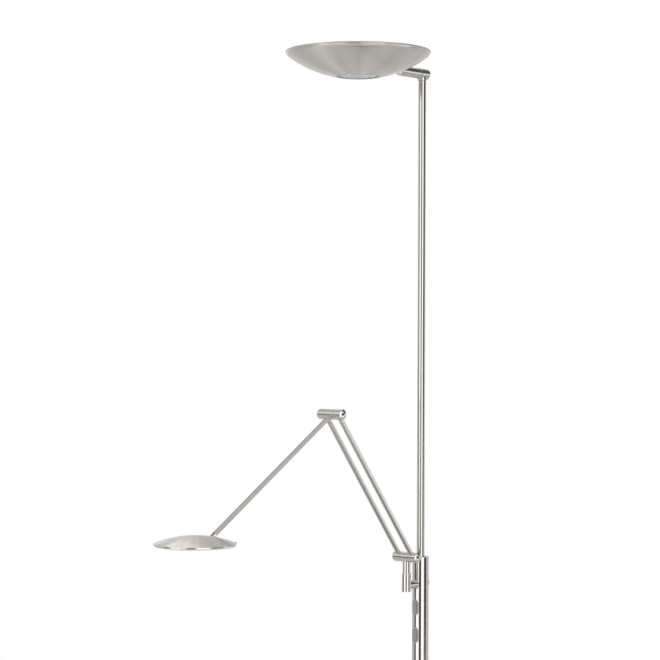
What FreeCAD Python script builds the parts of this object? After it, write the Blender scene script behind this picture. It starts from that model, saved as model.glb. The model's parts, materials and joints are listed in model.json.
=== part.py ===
import FreeCAD, Part
import math
import os

# Floor lamp with a shallow uplight bowl and a jointed reading arm.
# Millimetres and degrees. The origin is the centre of the base on the floor, +Z is up and
# the bowl and the reading arm point along -Y. Every hinge barrel of the reading arm lies along X.

V = FreeCAD.Vector
ORIGIN = V(0, 0, 0)
UP = V(0, 0, 1)
RIGHT = V(1, 0, 0)
BACK = V(0, 1, 0)
FRONT = V(0, -1, 0)

# Fits and gaps
FIT = 0.05                    # radial clearance of pieces that are joined for good
RUN_FIT = 0.05                # radial clearance of a pin that turns in its bore
FACE_GAP = 0.3                # between two faces that move past each other
SCREW_FIT = 0.05              # radial clearance of a screw in its hole

# Base
BASE_DIA = 280.0
BASE_SIDE_HEIGHT = 14.0       # straight side of the cover, from the floor
BASE_EDGE_RADIUS = 6.0
BASE_HUB_HEIGHT = 25.0        # top of the cover where the mast stands
BASE_HUB_DIA = 60.0
COVER_WALL = 1.2
COVER_LIFT = 1.0              # lower edge of the cover above the floor
PAD_THICKNESS = 2.0
PAD_EDGE_GAP = 0.5
WEIGHT_THICKNESS = 13.0
WEIGHT_EDGE_GAP = 1.5
WEIGHT_FLOOR = 4.0            # iron left under the driver
WEIGHT_HUB_DIA = 50.0
BASE_SCREW_CIRCLE_DIA = 190.0
BASE_SCREW_COUNT = 3
BASE_SCREW_DIA = 4.0
BASE_SCREW_HEAD_DIA = 8.0
BASE_SCREW_GRIP = 3.5         # thread in the boss of the cover
BASE_BOSS_DIA = 9.0
DRIVER_WIDTH = 34.0
DRIVER_LENGTH = 80.0
DRIVER_HEIGHT = 11.0
DRIVER_OFFSET = 68.0          # centre of the driver, left of the mast
DRIVER_ROOM = 0.5
DRIVER_EDGE_RADIUS = 2.75
WIRE_GROOVE_WIDTH = 10.0
WIRE_GROOVE_DEPTH = 8.0
WIRE_GROOVE_START = 12.0
WIRE_TUNNEL_RISE = 5.0        # above the disc, where the groove runs into the hub
WIRE_HOLE_DIA = 6.0
GLAND_Z = 9.0
GLAND_DIA = 10.0
GLAND_BORE_DIA = 7.0
GLAND_FLANGE_DIA = 13.5
GLAND_FLANGE_THICKNESS = 2.0
GLAND_FLANGE_CHAMFER = 1.0
GLAND_LIP = 0.6
GLAND_INNER_LENGTH = 6.0
GLAND_POCKET_ROOM = 6.0       # free space in the weight behind the gland

# Foot of the mast
NIPPLE_DIA = 16.0
NIPPLE_WALL = 1.5
NIPPLE_FLOOR_GAP = 3.5
NIPPLE_TOP_GAP = 3.0          # below the top of the foot plug
NUT_RECESS_DEPTH = 7.5
NUT_RECESS_DIA = 32.0
NUT_ACROSS_FLATS = 24.0
NUT_THICKNESS = 5.0
FOOT_PLUG_LENGTH = 30.0
COLLAR_DIA = 54.0
COLLAR_TOP_DIA = 40.0
COLLAR_HEIGHT = 16.0
COLLAR_EDGE_HEIGHT = 4.0

# Mast
LOWER_TUBE_DIA = 34.0
LOWER_TUBE_WALL = 1.5
LOWER_TUBE_TOP_Z = 775.2      # top face of the cap ring
UPPER_TUBE_DIA = 16.0
UPPER_TUBE_WALL = 1.2
REDUCER_CAP_THICKNESS = 2.0
REDUCER_LENGTH = 42.0
REDUCER_CHAMFER = 0.5
REDUCER_LEDGE = 4.0
GRUB_SCREW_DIA = 5.0
GRUB_SCREW_DEPTHS = (14.0, 30.0)   # below the top of the wide tube

# Switches on the front of the wide tube
SWITCH_BELOW_TOP = 104.1      # top of the wide tube to the middle of the upper switch
SWITCH_SPACING = 57.0
BEZEL_LENGTH = 32.0
BEZEL_WIDTH = 14.4
BEZEL_PROUD = 0.8
BEZEL_NECK_MARGIN = 1.5       # wall of the neck round the button
BEZEL_NECK_DEPTH = 3.0        # neck behind the wall of the tube
BUTTON_LENGTH = 22.0
BUTTON_WIDTH = 7.5
BUTTON_PROUD = 0.9
BUTTON_TRAVEL = 0.8
SWITCH_BODY_SIZE = (12.0, 8.0, 20.0)

# Bracket of the reading arm
BRACKET_BELOW_TOP = 55.9      # top of the wide tube to the axis of the stub
POST_REACH = 46.3             # post axis in front of the mast axis
STUB_DIA = 17.0
SLEEVE_DIA = 19.0
SLEEVE_BELOW_STUB = 12.7      # axis of the stub to the lower end of the sleeve
SLEEVE_LENGTH = 37.5
SLEEVE_RECESS_DEPTH = 6.0
SLEEVE_RECESS_DIA = 15.0
BRACKET_BOLT_DIA = 5.0
BRACKET_BOLT_GRIP = 11.0      # thread in the stub
BRACKET_BOLT_HEAD_DIA = 17.0
BRACKET_BOLT_HEAD_PROUD = 5.0
BRACKET_BOLT_HEAD_EDGE = 2.4  # straight side of the head, past the round of the tube
BUSH_THICKNESS = 1.0

# Post and hinge barrels of the reading arm
PINTLE_DIA = 12.0
POST_DIA = 16.0
RETAINER_THICKNESS = 2.0
RETAINER_EDGE_GAP = 0.4
RETAINER_SCREW_DIA = 4.0
RETAINER_SCREW_LENGTH = 9.0
RETAINER_HEAD_DIA = 7.0
RETAINER_HEAD_HEIGHT = 1.5
RETAINER_HEAD_EDGE = 0.5
SHOULDER_ABOVE_SLEEVE = 33.7  # top of the sleeve to the axis of the shoulder
BARREL_DIA = 20.5
BARREL_CENTRE_WIDTH = 23.0
BARREL_LEFT_LENGTH = 32.2     # from the middle to the left end
BARREL_LEFT_ROUND = 4.5
BARREL_RIGHT_LENGTH = 26.9    # from the middle to the groove
BARREL_AXLE_DIA = 8.0
BARREL_AXLE_END_ROOM = 3.0
CAP_GROOVE_WIDTH = 1.2
CAP_GROOVE_DIA = 17.2
CAP_EDGE = 1.0
CAP_DOME_HEIGHT = 3.8
CAP_SPIGOT_DIA = 12.0
CAP_SPIGOT_LENGTH = 2.3
WASHER_DIA = 16.0
WASHER_THICKNESS = 1.0

# Rods and tube of the reading arm
ROD_DIA = 10.0
ROD_WALL = 1.0
ROD_SPACING = 33.1
UPPER_ARM_LENGTH = 381.3      # shoulder axis to elbow axis
UPPER_ARM_LEAN = 38.2         # forward from upright
FOREARM_DIA = 9.5
FOREARM_WALL = 1.0
FOREARM_LENGTH = 403.3        # elbow axis to the tilt axis of the head
FOREARM_DROP = 32.8           # below level
SOCKET_FLOOR_ROOM = 1.5       # metal between an axle and the end of a socket

# Reading head
HEAD_DIA = 151.5
HEAD_DOME_HEIGHT = 14.7
HEAD_WALL = 1.2
HEAD_LIP_HEIGHT = 2.2
HEAD_CENTRE_AHEAD = 39.4      # centre of the head in front of its tilt axis
HEAD_AXIS_ABOVE_RIM = 5.5
HEAD_TIP_WIDTH = 9.0
HEAD_TIP_RADIUS = 3.4
HEAD_TIP_LENGTH = 14.0        # tilt axis to the end of the tube
HEAD_TIP_SPIGOT = 15.0
HEAD_SLOT_WIDTH = 11.0
HEAD_SLOT_BACK = 27.0
HEAD_PIN_DIA = 3.0
HEAD_EAR_THICKNESS = 2.0
HEAD_EAR_MARGIN = 0.9         # metal over the pin
HEAD_EAR_BACK = 3.4
HEAD_WEB_AHEAD = 4.4
HEAD_WEB_THICKNESS = 2.0
HEAD_TRAY_THICKNESS = 1.2
HEAD_BOARD_DIA = 120.0
HEAD_BOARD_THICKNESS = 1.2
HEAD_DIFFUSER_BELOW_LIP = 2.8
HEAD_DIFFUSER_WALL = 2.0
HEAD_DIFFUSER_ROOM = 0.3
RIM_SCREW_COUNT = 3
RIM_SCREW_DIA = 1.6
RIM_SCREW_HEAD_DIA = 5.2
RIM_SCREW_HEAD_PROUD = 2.2
RIM_SCREW_HEAD_EDGE = 0.7
RIM_SCREW_FIRST_ANGLE = 27.0  # from the front, turned to the right
RIM_SCREW_REACH = 2.9         # thread inside the lip

# Crossbar on top of the mast
CROSSBAR_BELOW_RIM = 24.9     # top of the rim to the axis of the crossbar
YOKE_DIA = 22.0
YOKE_FRONT = 12.5
YOKE_BACK = 15.6
YOKE_BACK_ROUND = 3.0
YOKE_NECK_DIA = 18.0
YOKE_NECK_DROP = 14.1         # crossbar axis to the lower end of the neck
SPIGOT_DIA = 8.0
SPIGOT_FLANGE = 1.5
SPIGOT_PLUG_LENGTH = 20.0
SPIGOT_TOP_ROOM = 0.8
AXLE_DIA = 10.0
AXLE_BORE_DIA = 6.0
AXLE_BACK = 8.0
BOWL_BARREL_DIA = 21.0
BOWL_BARREL_PAST_RIM = 11.5   # length of the barrel under the bowl, from its near rim
BOWL_CAP_BORE_DIA = 16.0
BOWL_CAP_BORE_DEPTH = 8.0
BOWL_CAP_GROOVE_WIDTH = 1.0
BOWL_CAP_GROOVE_DEPTH = 1.0
BOWL_CAP_EDGE = 1.2
BOWL_CAP_DOME_HEIGHT = 4.6
BOWL_CAP_SPIGOT_LENGTH = 1.6
AXLE_NUT_ACROSS_FLATS = 13.5
AXLE_NUT_THICKNESS = 4.0

# Bowl
BOWL_DIA = 290.0
BOWL_SPHERE_RADIUS = 241.0    # of its wide bottom, outside
BOWL_KNUCKLE_RADIUS = 14.0    # of the turn from the bottom up to the rim, outside
BOWL_RIM_SLOPE = 80.5         # of the skin where it meets the rim, from level
BOWL_RIM_Z = 1797.9           # top of the rim
BOWL_REACH = 205.5            # bowl axis in front of the mast axis
BOWL_WALL = 1.2
BOWL_BEAD_DIA = 3.2
BOWL_HOLE_DIA = 87.0
GLASS_RING_FLANGE_DIA = 98.0  # on the inside of the bowl
GLASS_RING_FLANGE_EDGE = 1.0
GLASS_RING_LIP = 2.2
GLASS_RING_WALL = 2.3
GLASS_SEAT_HEIGHT = 0.8
GLASS_THICKNESS = 3.0
GLASS_EDGE_ROOM = 0.1
SADDLE_WIDTH = 31.0
SADDLE_LENGTH = 9.0           # back from the front end of the barrel
SADDLE_ABOVE_AXIS = 5.5       # axis of the crossbar to the underside of the saddle
SADDLE_SCREW_COUNT = 2
SADDLE_SCREW_SPACING = 24.0
SADDLE_SCREW_FRONT_MARGIN = 2.3   # front of the saddle to a screw, at the shell
SADDLE_SCREW_DIA = 3.0
SADDLE_SCREW_DEPTH = 5.5
SADDLE_SCREW_HEAD_DIA = 5.0
SADDLE_SCREW_HEAD_HEIGHT = 2.0
SADDLE_SCREW_HEAD_EDGE = 0.8

# Light engine in the bowl
STANDOFF_COUNT = 3
STANDOFF_DIA = 8.0
STANDOFF_CIRCLE_DIA = 124.0
STANDOFF_FIRST_ANGLE = 90.0   # counted from the right
HEAT_SINK_DIA = 136.0
HEAT_SINK_THICKNESS = 3.0
HEAT_SINK_ABOVE_BOTTOM = 17.0 # underside of the sink above the lowest point of the bowl
UPLIGHT_BOARD_DIA = 100.0
UPLIGHT_BOARD_THICKNESS = 1.5
UPLIGHT_DIFFUSER_DIA = 132.0
UPLIGHT_DIFFUSER_HEIGHT = 12.0
UPLIGHT_DIFFUSER_WALL = 2.0
UPLIGHT_DIFFUSER_EDGE_RADIUS = 4.0

# Places worked out from the sizes above
BASE_RADIUS = BASE_DIA / 2
WEIGHT_RADIUS = BASE_RADIUS - COVER_WALL - WEIGHT_EDGE_GAP
WEIGHT_TOP_Z = PAD_THICKNESS + WEIGHT_THICKNESS
COVER_UNDERSIDE_Z = BASE_HUB_HEIGHT - COVER_WALL
NIPPLE_RADIUS = NIPPLE_DIA / 2
LOWER_RADIUS = LOWER_TUBE_DIA / 2
LOWER_BORE_RADIUS = LOWER_RADIUS - LOWER_TUBE_WALL
LOWER_TUBE_END_Z = LOWER_TUBE_TOP_Z - REDUCER_CAP_THICKNESS
UPPER_RADIUS = UPPER_TUBE_DIA / 2
UPPER_BORE_RADIUS = UPPER_RADIUS - UPPER_TUBE_WALL
UPPER_TUBE_START_Z = LOWER_TUBE_END_Z - REDUCER_LENGTH + REDUCER_LEDGE
CROSSBAR_Z = BOWL_RIM_Z - CROSSBAR_BELOW_RIM
CROSSBAR = V(0, 0, CROSSBAR_Z)
NECK_BOTTOM_Z = CROSSBAR_Z - YOKE_NECK_DROP
UPPER_TUBE_END_Z = NECK_BOTTOM_Z - FACE_GAP - SPIGOT_FLANGE
UPLIGHT_SWITCH_Z = LOWER_TUBE_TOP_Z - SWITCH_BELOW_TOP
READING_SWITCH_Z = UPLIGHT_SWITCH_Z - SWITCH_SPACING
BEZEL_FRONT_Y = -LOWER_RADIUS - BEZEL_PROUD
BEZEL_NECK_END_Y = -LOWER_BORE_RADIUS + BEZEL_NECK_DEPTH

BRACKET_Z = LOWER_TUBE_TOP_Z - BRACKET_BELOW_TOP
SLEEVE_BOTTOM_Z = BRACKET_Z - SLEEVE_BELOW_STUB
SLEEVE_TOP_Z = SLEEVE_BOTTOM_Z + SLEEVE_LENGTH
SHOULDER_Z = SLEEVE_TOP_Z + SHOULDER_ABOVE_SLEEVE
BUSH_TOP_Z = SLEEVE_TOP_Z + BUSH_THICKNESS
SLEEVE_SHOULDER_Z = SLEEVE_BOTTOM_Z + SLEEVE_RECESS_DEPTH
PINTLE_END_Z = SLEEVE_SHOULDER_Z - FACE_GAP
SHOULDER = V(0, -POST_REACH, SHOULDER_Z)
LEAN = math.radians(UPPER_ARM_LEAN)
UPPER_ARM_DIRECTION = V(0, -math.sin(LEAN), math.cos(LEAN))
ELBOW = SHOULDER + UPPER_ARM_DIRECTION * UPPER_ARM_LENGTH
DROP = math.radians(FOREARM_DROP)
FOREARM_DIRECTION = V(0, -math.cos(DROP), -math.sin(DROP))
TILT = ELBOW + FOREARM_DIRECTION * FOREARM_LENGTH

BARREL_RADIUS = BARREL_DIA / 2
CENTRE_HALF = BARREL_CENTRE_WIDTH / 2
SIDE_START = CENTRE_HALF + FACE_GAP
BARREL_AXLE_RADIUS = BARREL_AXLE_DIA / 2
SOCKET_START = BARREL_AXLE_RADIUS + RUN_FIT + SOCKET_FLOOR_ROOM
ROD_RADIUS = ROD_DIA / 2
FOREARM_RADIUS = FOREARM_DIA / 2

HEAD_RADIUS = HEAD_DIA / 2
HEAD_SPHERE_RADIUS = (HEAD_RADIUS ** 2 + HEAD_DOME_HEIGHT ** 2) / (2 * HEAD_DOME_HEIGHT)
HEAD_CENTRE_Y = TILT.y - HEAD_CENTRE_AHEAD
HEAD_RIM_Z = TILT.z - HEAD_AXIS_ABOVE_RIM
HEAD_SPHERE = V(0, HEAD_CENTRE_Y, HEAD_RIM_Z + HEAD_DOME_HEIGHT - HEAD_SPHERE_RADIUS)
HEAD_LIP_Z = HEAD_RIM_Z - HEAD_LIP_HEIGHT
HEAD_TRAY_Z = HEAD_RIM_Z - HEAD_TRAY_THICKNESS
HEAD_DIFFUSER_RADIUS = HEAD_RADIUS - HEAD_WALL - HEAD_DIFFUSER_ROOM
RIM_SCREW_Z = HEAD_LIP_Z + HEAD_LIP_HEIGHT / 2

BOWL_RADIUS = BOWL_DIA / 2
BEAD_RADIUS = BOWL_BEAD_DIA / 2
BEAD_RING_RADIUS = BOWL_RADIUS - BEAD_RADIUS
BEAD_RING_Z = BOWL_RIM_Z - BEAD_RADIUS
RIM_SLOPE = math.radians(BOWL_RIM_SLOPE)
KNUCKLE_TO_BEAD = BOWL_KNUCKLE_RADIUS - BOWL_WALL / 2
KNUCKLE_RING_RADIUS = BEAD_RING_RADIUS - KNUCKLE_TO_BEAD * math.sin(RIM_SLOPE)
KNUCKLE_RING_Z = BEAD_RING_Z + KNUCKLE_TO_BEAD * math.cos(RIM_SLOPE)
SPHERE_TO_KNUCKLE = BOWL_SPHERE_RADIUS - BOWL_KNUCKLE_RADIUS
KNUCKLE_SLOPE = math.asin(KNUCKLE_RING_RADIUS / SPHERE_TO_KNUCKLE)
BOWL_SPHERE = V(0, -BOWL_REACH, KNUCKLE_RING_Z + SPHERE_TO_KNUCKLE * math.cos(KNUCKLE_SLOPE))
BOWL_INNER_SPHERE_RADIUS = BOWL_SPHERE_RADIUS - BOWL_WALL
BOWL_BARREL_RADIUS = BOWL_BARREL_DIA / 2
BOWL_BARREL_BACK = YOKE_FRONT + FACE_GAP
BOWL_BARREL_FRONT = BOWL_REACH - BOWL_RADIUS + BOWL_BARREL_PAST_RIM
BOWL_CAP_BORE_START = BOWL_BARREL_FRONT - BOWL_CAP_BORE_DEPTH
AXLE_FRONT = BOWL_CAP_BORE_START + FACE_GAP + AXLE_NUT_THICKNESS
SADDLE_BACK = BOWL_BARREL_FRONT - SADDLE_LENGTH
SADDLE_SCREW_AT = BOWL_BARREL_FRONT - SADDLE_SCREW_FRONT_MARGIN
BOWL_BOTTOM_Z = BOWL_SPHERE.z - BOWL_SPHERE_RADIUS
HEAT_SINK_Z = BOWL_BOTTOM_Z + HEAT_SINK_ABOVE_BOTTOM
HEAT_SINK_TOP_Z = HEAT_SINK_Z + HEAT_SINK_THICKNESS
GLASS_RING_RADIUS = BOWL_HOLE_DIA / 2 - FIT
GLASS_SEAT_RADIUS = GLASS_RING_RADIUS - GLASS_RING_WALL
GLASS_RING_BOTTOM_Z = BOWL_SPHERE.z - math.sqrt(BOWL_SPHERE_RADIUS ** 2 - GLASS_RING_RADIUS ** 2)


def cylinder(start, direction, radius, length):
    return Part.makeCylinder(radius, length, start, direction)


def pipe(start, direction, outer_radius, inner_radius, length):
    outer = cylinder(start, direction, outer_radius, length)
    return outer.cut(cylinder(start, direction, inner_radius, length))


def turned(start, direction, profile):
    """Solid of revolution. A profile point is (distance along the axis, radius), and a pair
    of points is an arc: the point half way along it and its end."""
    def spot(point):
        return V(point[1], 0, point[0])

    edges = []
    here = profile[0]
    for step in profile[1:] + [profile[0]]:
        if isinstance(step[0], tuple):
            middle, end = step
            edges.append(Part.Arc(spot(here), spot(middle), spot(end)).toShape())
            here = end
        else:
            edges.append(Part.makeLine(spot(here), spot(step)))
            here = step
    solid = Part.Face(Part.Wire(edges)).revolve(ORIGIN, UP, 360)
    solid.Placement = FreeCAD.Placement(start, FreeCAD.Rotation(UP, direction))
    return solid


def corner_middle(centre, radius, along=1):
    """Middle of the outer quarter circle round a centre, towards (1) or against (-1) the axis."""
    half = radius * math.sqrt(0.5)
    return (centre[0] + along * half, centre[1] + half)


def block(x_range, y_range, z_range):
    low = V(x_range[0], y_range[0], z_range[0])
    return Part.makeBox(x_range[1] - x_range[0], y_range[1] - y_range[0], z_range[1] - z_range[0], low)


def hexagon(start, direction, across_flats, length):
    radius = across_flats / math.sqrt(3)
    corners = [V(radius * math.cos(math.pi * k / 3), radius * math.sin(math.pi * k / 3), 0) for k in range(7)]
    prism = Part.Face(Part.makePolygon(corners)).extrude(UP * length)
    prism.Placement = FreeCAD.Placement(start, FreeCAD.Rotation(UP, direction))
    return prism


def upright_slot(centre_z, length, width, y_from, y_to):
    """Prism along Y with round ends above and below."""
    radius = width / 2
    reach = length / 2 - radius
    low, high = centre_z - reach, centre_z + reach
    edges = [
        Part.makeLine(V(radius, y_from, low), V(radius, y_from, high)),
        Part.Arc(V(radius, y_from, high), V(0, y_from, high + radius), V(-radius, y_from, high)).toShape(),
        Part.makeLine(V(-radius, y_from, high), V(-radius, y_from, low)),
        Part.Arc(V(-radius, y_from, low), V(0, y_from, low - radius), V(radius, y_from, low)).toShape(),
    ]
    return Part.Face(Part.Wire(edges)).extrude(V(0, y_to - y_from, 0))


def round_pattern(count, radius, first_angle=0.0):
    """Points on a circle round the origin, counted from +X."""
    angles = [math.radians(first_angle) + 2 * math.pi * k / count for k in range(count)]
    return [V(radius * math.cos(a), radius * math.sin(a), 0) for a in angles]


def sphere_depth(sphere_radius, radius):
    """Distance from the centre of a sphere to the plane of its circle of this radius."""
    return math.sqrt(sphere_radius ** 2 - radius ** 2)


def dome_arc(along, radius, height):
    """Profile arc of a dome that stands on a circle of this radius, up to its top on the axis."""
    sphere_radius = (radius ** 2 + height ** 2) / (2 * height)
    middle_radius = radius / 2
    middle = (along + height - sphere_radius + sphere_depth(sphere_radius, middle_radius), middle_radius)
    return (middle, (along + height, 0))


def domed_head(start, direction, radius, edge, height):
    """Screw head: a short straight edge and a dome on it."""
    dome = dome_arc(edge, radius, height - edge)
    return turned(start, direction, [(0, 0), (0, radius), (edge, radius), dome])


def moved(shape, place):
    copy = shape.copy()
    copy.translate(place)
    return copy


# ---- Base ----------------------------------------------------------------

def base_pad():
    radius = BASE_RADIUS - COVER_WALL - PAD_EDGE_GAP
    return cylinder(ORIGIN, UP, radius, PAD_THICKNESS)


def base_screw_places():
    return round_pattern(BASE_SCREW_COUNT, BASE_SCREW_CIRCLE_DIA / 2)


def cover_skin(inset, hole_radius):
    """The cover as a full cap, drawn in by a distance from its outer skin."""
    edge = BASE_EDGE_RADIUS - inset
    corner = BASE_RADIUS - BASE_EDGE_RADIUS
    return turned(ORIGIN, UP, [
        (COVER_LIFT, hole_radius), (COVER_LIFT, BASE_RADIUS - inset), (BASE_SIDE_HEIGHT, BASE_RADIUS - inset),
        (corner_middle((BASE_SIDE_HEIGHT, corner), edge), (BASE_SIDE_HEIGHT + edge, corner)),
        (BASE_HUB_HEIGHT - inset, BASE_HUB_DIA / 2), (BASE_HUB_HEIGHT - inset, hole_radius)])


def base_cover():
    hole_radius = NIPPLE_RADIUS + FIT
    outer = cover_skin(0, hole_radius)
    cover = outer.cut(cover_skin(COVER_WALL, hole_radius))
    for place in base_screw_places():
        boss = cylinder(place + UP * WEIGHT_TOP_Z, UP, BASE_BOSS_DIA / 2, BASE_HUB_HEIGHT)
        cover = cover.fuse(boss.common(outer))
    hole = BASE_SCREW_DIA / 2 + SCREW_FIT
    for place in base_screw_places():
        cover = cover.cut(cylinder(place + UP * WEIGHT_TOP_Z, UP, hole, BASE_SCREW_GRIP))
    gland_hole = cylinder(V(0, BASE_RADIUS / 2, GLAND_Z), BACK, GLAND_DIA / 2 + FIT, BASE_RADIUS)
    return cover.cut(gland_hole).removeSplitter()


def base_screw(place, room):
    """Countersunk screw from below. Room widens it into the hole that it needs."""
    shaft_radius = BASE_SCREW_DIA / 2 + room
    head_radius = BASE_SCREW_HEAD_DIA / 2 + room
    top = WEIGHT_TOP_Z - PAD_THICKNESS + BASE_SCREW_GRIP
    cone = head_radius - shaft_radius
    return turned(place + UP * PAD_THICKNESS, UP,
                  [(0, 0), (0, head_radius), (cone, shaft_radius), (top, shaft_radius), (top, 0)])


def base_screws():
    return [base_screw(place, 0) for place in base_screw_places()]


def driver_box(room):
    floor_z = PAD_THICKNESS + WEIGHT_FLOOR
    half_width = DRIVER_WIDTH / 2 + room
    half_length = DRIVER_LENGTH / 2 + room
    return block((-DRIVER_OFFSET - half_width, -DRIVER_OFFSET + half_width), (-half_length, half_length),
                 (floor_z, floor_z + DRIVER_HEIGHT))


def led_driver():
    box = driver_box(0)
    upright_edges = [e for e in box.Edges if abs(e.tangentAt(e.FirstParameter).z) > 0.5]
    return box.makeFillet(DRIVER_EDGE_RADIUS, upright_edges)


def base_weight():
    weight = cylinder(UP * PAD_THICKNESS, UP, WEIGHT_RADIUS, WEIGHT_THICKNESS)
    hub_height = COVER_UNDERSIDE_Z - PAD_THICKNESS
    weight = weight.fuse(cylinder(UP * PAD_THICKNESS, UP, WEIGHT_HUB_DIA / 2, hub_height))
    weight = weight.cut(cylinder(ORIGIN, UP, NIPPLE_RADIUS + FIT, BASE_HUB_HEIGHT))
    weight = weight.cut(cylinder(UP * PAD_THICKNESS, UP, NUT_RECESS_DIA / 2, NUT_RECESS_DEPTH))
    weight = weight.cut(driver_box(DRIVER_ROOM))
    groove_floor = WEIGHT_TOP_Z - WIRE_GROOVE_DEPTH
    half_groove = WIRE_GROOVE_WIDTH / 2
    groove_top = WEIGHT_TOP_Z + WIRE_TUNNEL_RISE
    groove_height = (groove_floor, groove_top)
    weight = weight.cut(block((-half_groove, half_groove), (WIRE_GROOVE_START, BASE_RADIUS), groove_height))
    groove_y = DRIVER_LENGTH / 2 - WIRE_GROOVE_WIDTH
    weight = weight.cut(block((-DRIVER_OFFSET, 0), (groove_y - half_groove, groove_y), groove_height))
    wire_hole = V(0, WIRE_GROOVE_START + WIRE_HOLE_DIA / 2, PAD_THICKNESS)
    weight = weight.cut(cylinder(wire_hole, UP, WIRE_HOLE_DIA / 2, WEIGHT_THICKNESS))
    gland_half = GLAND_FLANGE_DIA / 2 + GLAND_LIP
    gland_start = BASE_RADIUS - COVER_WALL - GLAND_INNER_LENGTH - GLAND_POCKET_ROOM
    weight = weight.cut(block((-gland_half, gland_half), (gland_start, BASE_RADIUS), (0, BASE_RADIUS)))
    for place in base_screw_places():
        weight = weight.cut(base_screw(place, SCREW_FIT))
    return weight.removeSplitter()


def cable_gland():
    inner_end = -COVER_WALL - GLAND_INNER_LENGTH
    lip_face = -COVER_WALL - FACE_GAP
    radius = GLAND_DIA / 2
    lip_radius = radius + GLAND_LIP
    flange_radius = GLAND_FLANGE_DIA / 2
    bore = GLAND_BORE_DIA / 2
    flange_edge = GLAND_FLANGE_THICKNESS - GLAND_FLANGE_CHAMFER
    return turned(V(0, BASE_RADIUS, GLAND_Z), BACK, [
        (inner_end, bore), (inner_end, radius), (lip_face - GLAND_LIP, lip_radius), (lip_face, lip_radius),
        (lip_face, radius), (0, radius), (0, flange_radius), (flange_edge, flange_radius),
        (GLAND_FLANGE_THICKNESS, flange_radius - GLAND_FLANGE_CHAMFER), (GLAND_FLANGE_THICKNESS, bore)])


def tie_nipple():
    length = BASE_HUB_HEIGHT + FOOT_PLUG_LENGTH - NIPPLE_TOP_GAP - NIPPLE_FLOOR_GAP
    return pipe(UP * NIPPLE_FLOOR_GAP, UP, NIPPLE_RADIUS, NIPPLE_RADIUS - NIPPLE_WALL, length)


def tie_nut():
    top = PAD_THICKNESS + NUT_RECESS_DEPTH
    nut = hexagon(UP * (top - NUT_THICKNESS), UP, NUT_ACROSS_FLATS, NUT_THICKNESS)
    return nut.cut(cylinder(ORIGIN, UP, NIPPLE_RADIUS + FIT, top))


def foot_plug():
    return pipe(UP * BASE_HUB_HEIGHT, UP, LOWER_BORE_RADIUS - FIT, NIPPLE_RADIUS + FIT, FOOT_PLUG_LENGTH)


def foot_collar():
    bore = LOWER_RADIUS + FIT
    foot = COLLAR_DIA / 2
    top = COLLAR_TOP_DIA / 2
    share = math.sqrt(0.5)
    middle = (COLLAR_HEIGHT - (COLLAR_HEIGHT - COLLAR_EDGE_HEIGHT) * share, foot - (foot - top) * share)
    return turned(UP * BASE_HUB_HEIGHT, UP, [
        (0, bore), (0, foot), (COLLAR_EDGE_HEIGHT, foot), (middle, (COLLAR_HEIGHT, top)),
        (COLLAR_HEIGHT, bore)])


# ---- Mast ----------------------------------------------------------------

def grub_screw_heights():
    return [LOWER_TUBE_TOP_Z - depth for depth in GRUB_SCREW_DEPTHS]


def grub_screw_holes():
    radius = GRUB_SCREW_DIA / 2 + SCREW_FIT
    return [cylinder(V(0, 0, z), BACK, radius, LOWER_TUBE_DIA) for z in grub_screw_heights()]


def mast_grub_screws():
    length = LOWER_RADIUS - UPPER_RADIUS
    return [cylinder(V(0, UPPER_RADIUS, z), BACK, GRUB_SCREW_DIA / 2, length) for z in grub_screw_heights()]


def switch_heights():
    return [UPLIGHT_SWITCH_Z, READING_SWITCH_Z]


def switch_neck(z, room, y_from, y_to):
    """Neck round a button. Room widens it into the slot that it needs."""
    margin = BEZEL_NECK_MARGIN + room
    return upright_slot(z, BUTTON_LENGTH + 2 * margin, BUTTON_WIDTH + 2 * margin, y_from, y_to)


def lower_mast_tube():
    tube = pipe(UP * BASE_HUB_HEIGHT, UP, LOWER_RADIUS, LOWER_BORE_RADIUS, LOWER_TUBE_END_Z - BASE_HUB_HEIGHT)
    for hole in grub_screw_holes():
        tube = tube.cut(hole)
    for z in switch_heights():
        tube = tube.cut(switch_neck(z, FIT, -LOWER_TUBE_DIA, 0))
    bolt_hole_radius = BRACKET_BOLT_DIA / 2 + SCREW_FIT
    return tube.cut(cylinder(V(0, -LOWER_TUBE_DIA, BRACKET_Z), BACK, bolt_hole_radius, 2 * LOWER_TUBE_DIA))


def mast_reducer():
    plug_radius = LOWER_BORE_RADIUS - FIT
    bore = UPPER_RADIUS + FIT
    top = REDUCER_LENGTH + REDUCER_CAP_THICKNESS
    reducer = turned(UP * (LOWER_TUBE_END_Z - REDUCER_LENGTH), UP, [
        (0, UPPER_BORE_RADIUS), (0, plug_radius), (REDUCER_LENGTH, plug_radius),
        (REDUCER_LENGTH, LOWER_RADIUS), (top - REDUCER_CHAMFER, LOWER_RADIUS),
        (top, LOWER_RADIUS - REDUCER_CHAMFER), (top, bore),
        (REDUCER_LEDGE, bore), (REDUCER_LEDGE, UPPER_BORE_RADIUS)])
    for hole in grub_screw_holes():
        reducer = reducer.cut(hole)
    return reducer


def upper_mast_tube():
    length = UPPER_TUBE_END_Z - UPPER_TUBE_START_Z
    return pipe(UP * UPPER_TUBE_START_Z, UP, UPPER_RADIUS, UPPER_BORE_RADIUS, length)


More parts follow.
